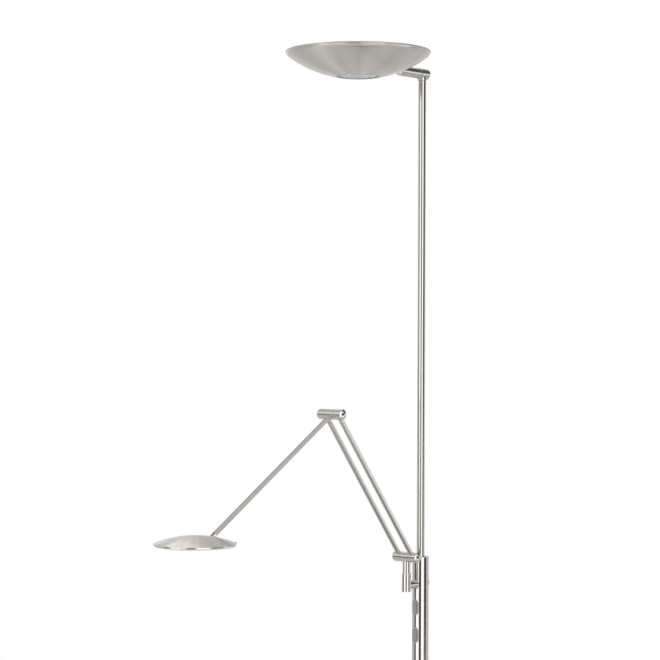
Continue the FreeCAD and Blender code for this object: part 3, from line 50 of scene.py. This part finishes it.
# Colours of the finishes, linear
NICKEL = (0.66, 0.635, 0.60)
WARM_NICKEL = (0.71, 0.665, 0.625)
BRIGHT_NICKEL = (0.78, 0.755, 0.72)
# Dark colour of the ring round the bowl's glass: painted shade of the gap between glass and bowl
GAP_SHADE_NICKEL = (0.16, 0.155, 0.15)
ZINC = (0.56, 0.57, 0.60)
ALUMINIUM = (0.78, 0.79, 0.80)
LACQUER_BLACK = (0.03, 0.03, 0.032)
PLASTIC_BLACK = (0.03, 0.03, 0.03)
RUBBER_BLACK = (0.025, 0.025, 0.025)
FELT_BLACK = (0.10, 0.10, 0.11)
SWITCH_GREY = (0.30, 0.295, 0.28)
NYLON = (0.80, 0.79, 0.74)
CASE_WHITE = (0.80, 0.80, 0.79)
BOARD_WHITE = (0.86, 0.86, 0.82)
OPAL_WHITE = (0.90, 0.90, 0.88)
GLASS_WHITE = (0.93, 0.95, 0.94)

# Rings that turning and polishing leave
GROOVE_PITCH = 0.00035
GROOVE_DEPTH = GROOVE_PITCH * 0.05
GROOVE_STRENGTH = 0.007
RING_WANDER = 3.0             # how far the rings stray round the axis
BROAD_RINGS = 0.04            # pace of the broad rings against the fine ones
FAINT_FAN = 0.02              # how much the shade differs between sectors
# On the bowl and the head a strong fan paints lighter and darker sectors into the colour: painted
# reflections of a spun surface
BOWL_PAINTED_SHEEN_FAN = 0.13
HEAD_PAINTED_SHEEN_FAN = 0.12

# Ranges that the noises keep to, nearly always
NOISE_RANGE = (0.3, 0.7)
FAN_RANGE = (0.35, 0.65)
SMEAR_RANGE = (0.45, 0.75)

# Cloudy marks: patch size, and how much they change colour and roughness
TURNED_PATCH = 0.05
METAL_PATCH = 0.02
MOULDED_PATCH = 0.03
CLOUD_SHADE = 0.015
SMEAR_ROUGHNESS = 0.15
SMEAR_SQUEEZE = (1.0, 1.0, 4.0)   # smears are wider than they are high

# Shares of its colour and of its roughness between which a finish varies
METAL_TINTS = (0.93, 1.04)
TURNED_ROUGHNESS = (0.9, 1.1)
METAL_ROUGHNESS = (0.85, 1.2)
MOULDED_ROUGHNESS = (0.9, 1.15)
MOULDED_VARIATION = 0.08      # this much darker, and half as much lighter
CLEAR_VARIATION = 0.02        # of acrylic and glass
FELT_VARIATION = 0.3

# Grain: its size, the strength of its bumps, and their depth as a share of the size
METAL_GRAIN = 0.0006
METAL_GRAIN_STRENGTH = 0.15
METAL_GRAIN_DEPTH = 0.1
POLISHED_GRAIN = 0.0008
POLISHED_GRAIN_STRENGTH = 0.03
MOULDED_GRAIN = 0.0004
MOULDED_GRAIN_STRENGTH = 0.2
MOULDED_GRAIN_DEPTH = 0.3

# Floor
FLOOR_RADIUS = 1.9
FLOOR_SEGMENTS = 96
FLOOR_SHADE = 0.86
FLOOR_IN_METAL = 0.66         # how bright the floor is in the metal
SHADY_FLOOR_IN_METAL = 0.24   # and close to the lamp, on the side of the camera
SHADY_FLOOR_START = (0.0, 0.25)   # distances in front of the mast over which the shade begins
SHADY_FLOOR_EDGE = (0.45, 0.85)   # distances from the mast over which it ends
FLOOR_FADE = (0.6, 1.7)       # distances over which the floor passes into the white background

# Studio
LOWER_ROOM = 0.64             # brightness below the horizon
MIDDLE_ROOM = 0.85
UPPER_ROOM = 0.60
HORIZON_BLEND = (-8.0, 8.0)   # elevations between which one passes into the next
CEILING_BLEND = (30.0, 60.0)
DIFFUSE_LIGHT = 0.80          # even light on matt surfaces
SOFTBOX_PLACE = Vector((-1.8, -2.2, 3.2))
SOFTBOX_TARGET = Vector((0, 0, 0.9))
SOFTBOX_WIDTH = 1.6
SOFTBOX_WATTS = 40.0

FRONT_AZIMUTH = -90.0         # of the lamp's front, counted from the X axis

# Cards round the lamp that its metal reflects: azimuth counted from the camera towards the right
# of the picture, elevation, half width, half height, softness, all in degrees, and brightness
STUDIO_CARDS = [
    (-43, 5, 23, 35, 5, 1.55),
    (27, 5, 20, 35, 5, 1.55),
    (82, -16, 24, 14, 5, 1.25),
    (-79, 0, 12, 15, 4, 0.05),
    (-8, 0, 14, 16, 4, 0.05),
    (70, 2, 22, 13, 4, 0.05),
    (-86, 17, 9, 7, 5, 1.35),
    (-146, 40, 30, 12, 8, 0.42),
    (120, 27, 30, 20, 6, 0.10),
    (98, -6, 10, 4, 3, 1.4),
    (104, -24, 10, 12, 6, 0.45),
    (-168, 46, 10, 16, 8, 1.3),
    (164, 24, 22, 22, 10, 0.62),
]


def joint_place(name):
    return Vector(next(j["pos_m"] for j in frame["joints"] if j["name"] == name))


def node_middle(name):
    low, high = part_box(name)
    return (low + high) / 2


SHOULDER = joint_place("shoulder_hinge")
ELBOW = joint_place("elbow_hinge")
HEAD_TILT = joint_place("head_tilt")
CROSSBAR = joint_place("bowl_tilt")
POST = joint_place("arm_swivel")
MAST = Vector((0, 0, 0))
BOWL = node_middle("bowl_shell")
HEAD = node_middle("head_dome")
ROD_LEFT = Vector((node_middle("rod_left").x, SHOULDER.y, SHOULDER.z))
ROD_RIGHT = Vector((node_middle("rod_right").x, SHOULDER.y, SHOULDER.z))
UPPER_ARM_LINE = (ELBOW - SHOULDER).normalized()
FOREARM_LINE = (HEAD_TILT - ELBOW).normalized()


# ---- Node trees ------------------------------------------------------------

MIX_FACTOR = 0                # sockets of the mix node that carry colours
MIX_FIRST = 6
MIX_SECOND = 7
MIX_RESULT = 2


def add_node(tree, kind, inputs=None, **settings):
    """A node with its settings. An input takes a plain value or another node's output."""
    node = tree.nodes.new(kind)
    for name, value in settings.items():
        setattr(node, name, value)
    for name, value in (inputs or {}).items():
        if isinstance(value, bpy.types.NodeSocket):
            tree.links.new(value, node.inputs[name])
        else:
            node.inputs[name].default_value = value
    return node


def calculate(tree, operation, *values):
    return add_node(tree, "ShaderNodeMath", dict(enumerate(values)), operation=operation).outputs[0]


def vector_maths(tree, operation, *values):
    return add_node(tree, "ShaderNodeVectorMath", dict(enumerate(values)), operation=operation)


def vector_step(tree, operation, *values):
    return vector_maths(tree, operation, *values).outputs[0]


def dot_product(tree, first, second):
    return vector_maths(tree, "DOT_PRODUCT", first, second).outputs["Value"]


def length_of(tree, vector):
    return vector_maths(tree, "LENGTH", vector).outputs["Value"]


def scaled(tree, vector, factor):
    inputs = {0: vector, "Scale": factor}
    return add_node(tree, "ShaderNodeVectorMath", inputs, operation="SCALE").outputs[0]


def noise(tree, vector, scale, detail, roughness):
    inputs = {"Vector": vector, "Scale": scale, "Detail": detail, "Roughness": roughness}
    return add_node(tree, "ShaderNodeTexNoise", inputs).outputs["Fac"]


def ranged(tree, value, low, high, to_low, to_high):
    inputs = {"Value": value, "From Min": low, "From Max": high, "To Min": to_low, "To Max": to_high}
    return add_node(tree, "ShaderNodeMapRange", inputs).outputs["Result"]


def blended(tree, factor, first, second):
    inputs = {MIX_FACTOR: factor, MIX_FIRST: first, MIX_SECOND: second}
    return add_node(tree, "ShaderNodeMix", inputs, data_type="RGBA").outputs[MIX_RESULT]


def object_place(tree):
    return add_node(tree, "ShaderNodeTexCoord").outputs["Object"]


def group_tree(name, inputs, outputs):
    tree = bpy.data.node_groups.new(name, "ShaderNodeTree")
    for label, kind, value in inputs:
        socket = tree.interface.new_socket(label, in_out="INPUT", socket_type=kind)
        socket.default_value = value
    for label in outputs:
        tree.interface.new_socket(label, in_out="OUTPUT", socket_type="NodeSocketFloat")
    return tree, tree.nodes.new("NodeGroupInput"), tree.nodes.new("NodeGroupOutput")


def use_group(tree, group, inputs=None):
    return add_node(tree, "ShaderNodeGroup", inputs, node_tree=group)


def grey(level):
    return (level, level, level, 1.0)


def tinted(colour, factor):
    return (colour[0] * factor, colour[1] * factor, colour[2] * factor, 1.0)


# ---- Effects that several finishes share ------------------------------------

def make_turning_lines():
    """Fine rings that a lathe or a polishing mop leaves round an axis, and the soft fan of shades over
    them: faint random tone, and where it is strong, painted sheen of a spun surface."""
    tree, given, result = group_tree(
        "turning_lines",
        [("Centre", "NodeSocketVector", (0, 0, 0)), ("Axis", "NodeSocketVector", (0, 0, 1)),
         ("Pitch", "NodeSocketFloat", GROOVE_PITCH), ("Wander", "NodeSocketFloat", RING_WANDER)],
        ["Height", "Tone", "Fan"])
    axis = given.outputs["Axis"]
    away = vector_step(tree, "SUBTRACT", object_place(tree), given.outputs["Centre"])
    along = dot_product(tree, away, axis)
    across = vector_step(tree, "SUBTRACT", away, scaled(tree, axis, along))
    radius = length_of(tree, across)
    travel = calculate(tree, "DIVIDE", calculate(tree, "ADD", radius, along), given.outputs["Pitch"])
    turn = scaled(tree, vector_step(tree, "NORMALIZE", across), given.outputs["Wander"])
    rings = vector_step(tree, "ADD", turn, scaled(tree, axis, travel))
    tree.links.new(noise(tree, rings, scale=1.0, detail=3.0, roughness=0.6), result.inputs["Height"])
    slow_travel = calculate(tree, "MULTIPLY", travel, BROAD_RINGS)
    broad = vector_step(tree, "ADD", turn, scaled(tree, axis, slow_travel))
    tree.links.new(noise(tree, broad, scale=1.3, detail=2.0, roughness=0.5), result.inputs["Tone"])
    # Lighter and darker sectors round the axis: faint random tone, and where strong, painted sheen
    tree.links.new(noise(tree, turn, scale=0.7, detail=1.0, roughness=0.5), result.inputs["Fan"])
    return tree


def make_handling_marks():
    """Faint cloudy patches where a surface has been touched and wiped."""
    tree, given, result = group_tree(
        "handling_marks",
        [("Size", "NodeSocketFloat", TURNED_PATCH)],
        ["Cloud", "Smear"])
    spread = calculate(tree, "DIVIDE", 1.0, given.outputs["Size"])
    place = scaled(tree, object_place(tree), spread)
    tree.links.new(noise(tree, place, scale=1.0, detail=4.0, roughness=0.55), result.inputs["Cloud"])
    squeezed = vector_step(tree, "MULTIPLY", place, SMEAR_SQUEEZE)
    tree.links.new(noise(tree, squeezed, scale=2.3, detail=3.0, roughness=0.6), result.inputs["Smear"])
    return tree


def make_fine_grain():
    """Even fine grain of a moulded, cast or etched surface."""
    tree, given, result = group_tree(
        "fine_grain",
        [("Grain", "NodeSocketFloat", MOULDED_GRAIN)],
        ["Height", "Tone"])
    spread = calculate(tree, "DIVIDE", 1.0, given.outputs["Grain"])
    place = scaled(tree, object_place(tree), spread)
    tree.links.new(noise(tree, place, scale=1.0, detail=2.0, roughness=0.5), result.inputs["Height"])
    tree.links.new(noise(tree, place, scale=0.05, detail=3.0, roughness=0.5), result.inputs["Tone"])
    return tree


TURNING_LINES = make_turning_lines()
HANDLING_MARKS = make_handling_marks()
FINE_GRAIN = make_fine_grain()


# ---- Finishes ---------------------------------------------------------------

def new_finish(name):
    material = bpy.data.materials.new(name)
    material.use_nodes = True
    tree = material.node_tree
    return material, tree, tree.nodes["Principled BSDF"]


def bumped(tree, shader, height, strength, distance):
    bump = add_node(tree, "ShaderNodeBump", {"Height": height, "Strength": strength, "Distance": distance})
    tree.links.new(bump.outputs["Normal"], shader.inputs["Normal"])


def roughened(tree, wave, roughness, shares):
    """Roughness that a noise moves between two shares of its value."""
    low, high = shares
    return ranged(tree, wave, *NOISE_RANGE, roughness * low, min(1.0, roughness * high))


def turned_nickel(name, centre, axis, roughness, anisotropy, fan_and_sheen=FAINT_FAN, colour=NICKEL):
    """Nickel with fine rings round an axis, so that highlights stretch across the rings."""
    material, tree, shader = new_finish(name)
    lines = use_group(tree, TURNING_LINES, {"Centre": centre, "Axis": axis})
    marks = use_group(tree, HANDLING_MARKS)
    cloud = ranged(tree, marks.outputs["Cloud"], *NOISE_RANGE, 1.0 - CLOUD_SHADE, 1.0 + CLOUD_SHADE)
    # Sectors painted lighter and darker: faint random tone, and on the bowl and the head painted
    # reflections
    sector_tone_and_sheen = ranged(tree, lines.outputs["Fan"], *FAN_RANGE, 1.0 - fan_and_sheen, 1.0 + fan_and_sheen)
    shade = calculate(tree, "MULTIPLY", cloud, sector_tone_and_sheen)
    tree.links.new(scaled(tree, colour, shade), shader.inputs["Base Color"])
    rough = roughened(tree, lines.outputs["Tone"], roughness, TURNED_ROUGHNESS)
    smear = ranged(tree, marks.outputs["Smear"], *SMEAR_RANGE, 0.0, roughness * SMEAR_ROUGHNESS)
    tree.links.new(calculate(tree, "ADD", rough, smear), shader.inputs["Roughness"])
    shader.inputs["Metallic"].default_value = 1.0
    shader.inputs["Anisotropic"].default_value = anisotropy
    bumped(tree, shader, lines.outputs["Height"], GROOVE_STRENGTH, GROOVE_DEPTH)
    away = vector_step(tree, "SUBTRACT", object_place(tree), centre)
    ring = vector_step(tree, "CROSS_PRODUCT", axis, away)
    ring = add_node(tree, "ShaderNodeVectorTransform", {"Vector": ring}, vector_type="VECTOR",
                    convert_from="OBJECT", convert_to="WORLD").outputs["Vector"]
    facing = add_node(tree, "ShaderNodeNewGeometry").outputs["Normal"]
    tree.links.new(vector_step(tree, "CROSS_PRODUCT", facing, ring), shader.inputs["Tangent"])
    return material


def grained(name, colour, tints, roughness, shares, patch, grain, strength, depth):
    """A finish with an even fine grain. Its material and its shader."""
    material, tree, shader = new_finish(name)
    surface = use_group(tree, FINE_GRAIN, {"Grain": grain})
    marks = use_group(tree, HANDLING_MARKS, {"Size": patch})
    shade = ranged(tree, surface.outputs["Tone"], *NOISE_RANGE, 0.0, 1.0)
    low, high = tints
    colours = blended(tree, shade, tinted(colour, low), tinted(colour, high))
    tree.links.new(colours, shader.inputs["Base Color"])
    rough = roughened(tree, marks.outputs["Cloud"], roughness, shares)
    tree.links.new(rough, shader.inputs["Roughness"])
    bumped(tree, shader, surface.outputs["Height"], strength, depth)
    return material, shader


def plain_metal(name, colour, roughness, grain, strength):
    """Plated or rolled metal."""
    material, shader = grained(name, colour, METAL_TINTS, roughness, METAL_ROUGHNESS, METAL_PATCH,
                               grain, strength, grain * METAL_GRAIN_DEPTH)
    shader.inputs["Metallic"].default_value = 1.0
    return material


def moulded(name, colour, roughness, grain, strength, variation=MOULDED_VARIATION):
    """Plastic, rubber, lacquer, felt or glass. Its material and its shader."""
    tints = (1 - variation, 1 + variation / 2)
    return grained(name, colour, tints, roughness, MOULDED_ROUGHNESS, MOULDED_PATCH,
                   grain, strength, grain * MOULDED_GRAIN_DEPTH)


def opal_acrylic():
    material, shader = moulded("opal_acrylic", OPAL_WHITE, roughness=0.45, grain=0.0008, strength=0.05,
                               variation=CLEAR_VARIATION)
    shader.inputs["Subsurface Weight"].default_value = 0.4
    shader.inputs["Subsurface Radius"].default_value = (0.004, 0.004, 0.004)
    return material


def etched_glass():
    material, shader = moulded("etched_glass", GLASS_WHITE, roughness=0.42, grain=0.0005, strength=0.25,
                               variation=CLEAR_VARIATION)
    shader.inputs["Transmission Weight"].default_value = 0.55
    shader.inputs["IOR"].default_value = 1.5
    return material


def dense_felt():
    material, shader = moulded("dense_felt", FELT_BLACK, roughness=0.95, grain=0.0007, strength=0.9,
                               variation=FELT_VARIATION)
    shader.inputs["Sheen Weight"].default_value = 0.3
    return material


def dress(finish, names):
    for name in names:
        for slot in NODES[name].material_slots:
            slot.material = finish


# Turned nickel: finish, centre and axis of its rings, roughness and anisotropy, and its nodes
TURNED_FINISHES = [
    ("nickel_mast", MAST, ALONG_Z, 0.11, 0.3, ["lower_mast_tube", "upper_mast_tube", "mast_reducer"]),
    ("nickel_base", MAST, ALONG_Z, 0.24, 0.75, ["base_cover", "foot_collar"]),
    ("nickel_post", POST, ALONG_Z, 0.14, 0.3, ["shoulder_post", "swivel_bracket"]),
    ("nickel_shoulder", SHOULDER, ALONG_X, 0.22, 0.6,
     ["shoulder_centre", "shoulder_left", "shoulder_right"]),
    ("nickel_elbow", ELBOW, ALONG_X, 0.26, 0.6, ["elbow_centre", "elbow_left", "elbow_right"]),
    ("nickel_rod_left", ROD_LEFT, UPPER_ARM_LINE, 0.12, 0.3, ["rod_left"]),
    ("nickel_rod_right", ROD_RIGHT, UPPER_ARM_LINE, 0.12, 0.3, ["rod_right"]),
    ("nickel_forearm", ELBOW, FOREARM_LINE, 0.12, 0.3, ["forearm_tube", "forearm_tip"]),
    ("nickel_crossbar", CROSSBAR, ALONG_Y, 0.15, 0.4, ["yoke_barrel", "bowl_barrel", "bowl_saddle"]),
]

# The same with a warmer nickel and a stronger fan of sectors, painted reflections of a spun surface
SHEEN_FANNED_FINISHES = [
    ("nickel_bowl", BOWL, ALONG_Z, 0.24, 0.75, BOWL_PAINTED_SHEEN_FAN, WARM_NICKEL, ["bowl_shell"]),
    ("nickel_head", HEAD, ALONG_Z, 0.24, 0.6, HEAD_PAINTED_SHEEN_FAN, WARM_NICKEL, ["head_dome"]),
]

# Plated and rolled metal: finish, colour and roughness, size and strength of its grain, and its nodes
METAL_FINISHES = [
    ("polished_nickel", BRIGHT_NICKEL, 0.07, POLISHED_GRAIN, POLISHED_GRAIN_STRENGTH,
     ["bracket_bolt", "hinge_caps", "bowl_barrel_cap", "head_rim_screws"]),
    # Painted shade: the ring round the glass is dark to stand for the shaded gap around it
    ("dark_nickel", GAP_SHADE_NICKEL, 0.2, POLISHED_GRAIN, POLISHED_GRAIN_STRENGTH, ["bowl_glass_ring"]),
    ("zinc_plate", ZINC, 0.3, METAL_GRAIN, METAL_GRAIN_STRENGTH,
     ["base_screws", "tie_nipple", "tie_nut", "foot_plug", "mast_grub_screws", "mast_top_spigot",
      "post_retainer", "shoulder_axle", "elbow_axle", "head_bracket", "head_pin", "yoke_axle",
      "axle_nut", "saddle_screws", "uplight_standoffs"]),
    ("rolled_aluminium", ALUMINIUM, 0.34, METAL_GRAIN, METAL_GRAIN_STRENGTH,
     ["head_tray", "uplight_heat_sink"]),
]

# Plastic, rubber and lacquer: finish, colour and roughness, size and strength of its grain, and its nodes
MOULDED_FINISHES = [
    ("black_lacquer", LACQUER_BLACK, 0.4, 0.0015, 0.4, ["base_weight"]),
    ("silver_grey_plastic", SWITCH_GREY, 0.42, MOULDED_GRAIN, MOULDED_GRAIN_STRENGTH,
     ["switch_bezels", "uplight_button", "reading_button"]),
    ("black_plastic", PLASTIC_BLACK, 0.4, MOULDED_GRAIN, MOULDED_GRAIN_STRENGTH, ["switch_bodies"]),
    ("black_rubber", RUBBER_BLACK, 0.7, MOULDED_GRAIN, MOULDED_GRAIN_STRENGTH, ["cable_gland"]),
    ("natural_nylon", NYLON, 0.4, MOULDED_GRAIN, MOULDED_GRAIN_STRENGTH,
     ["swivel_bush", "shoulder_washers", "elbow_washers"]),
    ("driver_case", CASE_WHITE, 0.45, MOULDED_GRAIN, MOULDED_GRAIN_STRENGTH, ["led_driver"]),
    ("board_lacquer", BOARD_WHITE, 0.35, MOULDED_GRAIN, MOULDED_GRAIN_STRENGTH,
     ["head_led_board", "uplight_led_board"]),
]


def dress_all():
    for *settings, names in TURNED_FINISHES + SHEEN_FANNED_FINISHES:
        dress(turned_nickel(*settings), names)
    for *settings, names in METAL_FINISHES:
        dress(plain_metal(*settings), names)
    for *settings, names in MOULDED_FINISHES:
        material, _ = moulded(*settings)
        dress(material, names)
    dress(dense_felt(), ["base_pad"])
    dress(etched_glass(), ["bowl_glass"])
    dress(opal_acrylic(), ["head_diffuser", "uplight_diffuser"])


# ---- Studio -----------------------------------------------------------------

def towards_camera():
    """Level direction from the mast to the camera."""
    turn = math.radians(CAMERA_AZIMUTH)
    return Vector((math.sin(turn), -math.cos(turn), 0))


def make_floor():
    floor = bpy.data.objects.new("floor", bpy.data.meshes.new("floor"))
    form = bmesh.new()
    bmesh.ops.create_circle(form, cap_ends=True, segments=FLOOR_SEGMENTS, radius=FLOOR_RADIUS)
    form.to_mesh(floor.data)
    form.free()
    bpy.context.scene.collection.objects.link(floor)
    material = bpy.data.materials.new("pale_floor")
    material.use_nodes = True
    tree = material.node_tree
    tree.nodes.clear()
    ray = add_node(tree, "ShaderNodeLightPath")
    place = object_place(tree)
    distance = length_of(tree, place)
    ahead = ranged(tree, dot_product(tree, place, towards_camera()), *SHADY_FLOOR_START, 0.0, 1.0)
    near = ranged(tree, distance, *SHADY_FLOOR_EDGE, 1.0, 0.0)
    shady = calculate(tree, "MULTIPLY", ahead, near)
    mirrored = ranged(tree, shady, 0.0, 1.0, FLOOR_IN_METAL, SHADY_FLOOR_IN_METAL)
    colour = blended(tree, ray.outputs["Is Glossy Ray"], grey(FLOOR_SHADE), mirrored)
    matt = add_node(tree, "ShaderNodeBsdfDiffuse", {"Color": colour}).outputs[0]
    white = add_node(tree, "ShaderNodeEmission", {"Strength": 1.0}).outputs[0]
    fade = ranged(tree, distance, *FLOOR_FADE, 0.0, 1.0)
    fade = calculate(tree, "MULTIPLY", fade, ray.outputs["Is Camera Ray"])
    mix = add_node(tree, "ShaderNodeMixShader", {0: fade, 1: matt, 2: white})
    output = tree.nodes.new("ShaderNodeOutputMaterial")
    tree.links.new(mix.outputs[0], output.inputs["Surface"])
    floor.data.materials.append(material)


def card_mask(tree, azimuth, elevation, middle, height, half_width, half_height, soft):
    world_azimuth = FRONT_AZIMUTH + CAMERA_AZIMUTH + middle
    turn = calculate(tree, "SUBTRACT", azimuth, world_azimuth)
    turn = calculate(tree, "ABSOLUTE", calculate(tree, "WRAP", turn, 180.0, -180.0))
    climb = calculate(tree, "ABSOLUTE", calculate(tree, "SUBTRACT", elevation, float(height)))
    wide = ranged(tree, turn, half_width + soft / 2, half_width - soft / 2, 0.0, 1.0)
    tall = ranged(tree, climb, half_height + soft / 2, half_height - soft / 2, 0.0, 1.0)
    return calculate(tree, "MULTIPLY", wide, tall)


def make_studio_light():
    world = bpy.data.worlds.new("studio")
    bpy.context.scene.world = world
    world.use_nodes = True
    tree = world.node_tree
    tree.nodes.clear()
    direction = add_node(tree, "ShaderNodeTexCoord").outputs["Generated"]
    parts = add_node(tree, "ShaderNodeSeparateXYZ", {0: direction})
    azimuth = calculate(tree, "ARCTAN2", parts.outputs["Y"], parts.outputs["X"])
    azimuth = calculate(tree, "DEGREES", azimuth)
    elevation = calculate(tree, "DEGREES", calculate(tree, "ARCSINE", parts.outputs["Z"]))
    room = ranged(tree, elevation, *HORIZON_BLEND, LOWER_ROOM, MIDDLE_ROOM)
    room = blended(tree, ranged(tree, elevation, *CEILING_BLEND, 0.0, 1.0), room, grey(UPPER_ROOM))
    for *card, brightness in STUDIO_CARDS:
        room = blended(tree, card_mask(tree, azimuth, elevation, *card), room, grey(brightness))
    ray = add_node(tree, "ShaderNodeLightPath")
    room = blended(tree, ray.outputs["Is Glossy Ray"], grey(DIFFUSE_LIGHT), room)
    white = calculate(tree, "MAXIMUM", ray.outputs["Is Camera Ray"], ray.outputs["Is Transmission Ray"])
    room = blended(tree, white, room, grey(1.0))
    background = add_node(tree, "ShaderNodeBackground", {"Color": room, "Strength": 1.0})
    output = tree.nodes.new("ShaderNodeOutputWorld")
    tree.links.new(background.outputs[0], output.inputs["Surface"])


def make_softbox():
    lamp = bpy.data.lights.new("key_softbox", "AREA")
    lamp.shape = "SQUARE"
    lamp.size = SOFTBOX_WIDTH
    lamp.energy = SOFTBOX_WATTS
    softbox = bpy.data.objects.new("key_softbox", lamp)
    softbox.location = SOFTBOX_PLACE
    softbox.rotation_euler = (SOFTBOX_TARGET - SOFTBOX_PLACE).to_track_quat("-Z", "Y").to_euler()
    softbox.visible_glossy = False
    bpy.context.scene.collection.objects.link(softbox)


def make_camera():
    back = towards_camera()
    right = ALONG_Z.cross(back)
    lens = bpy.data.cameras.new("camera")
    lens.sensor_width = SENSOR_WIDTH
    lens.lens = SENSOR_WIDTH * FOCAL_PIXELS / IMAGE_SIZE
    lens.shift_y = (HORIZON_PIXEL - IMAGE_SIZE / 2) / IMAGE_SIZE
    camera = bpy.data.objects.new("camera", lens)
    camera.location = back * CAMERA_DISTANCE + right * CAMERA_SIDESTEP + ALONG_Z * CAMERA_HEIGHT
    level = (-back).to_track_quat("-Z", "Y").to_matrix()
    camera.rotation_euler = (level @ Matrix.Rotation(math.radians(CAMERA_ROLL), 3, "Z")).to_euler()
    bpy.context.scene.collection.objects.link(camera)
    bpy.context.scene.camera = camera


bpy.context.scene.view_settings.view_transform = "Standard"
dress_all()
make_floor()
make_studio_light()
make_softbox()
make_camera()
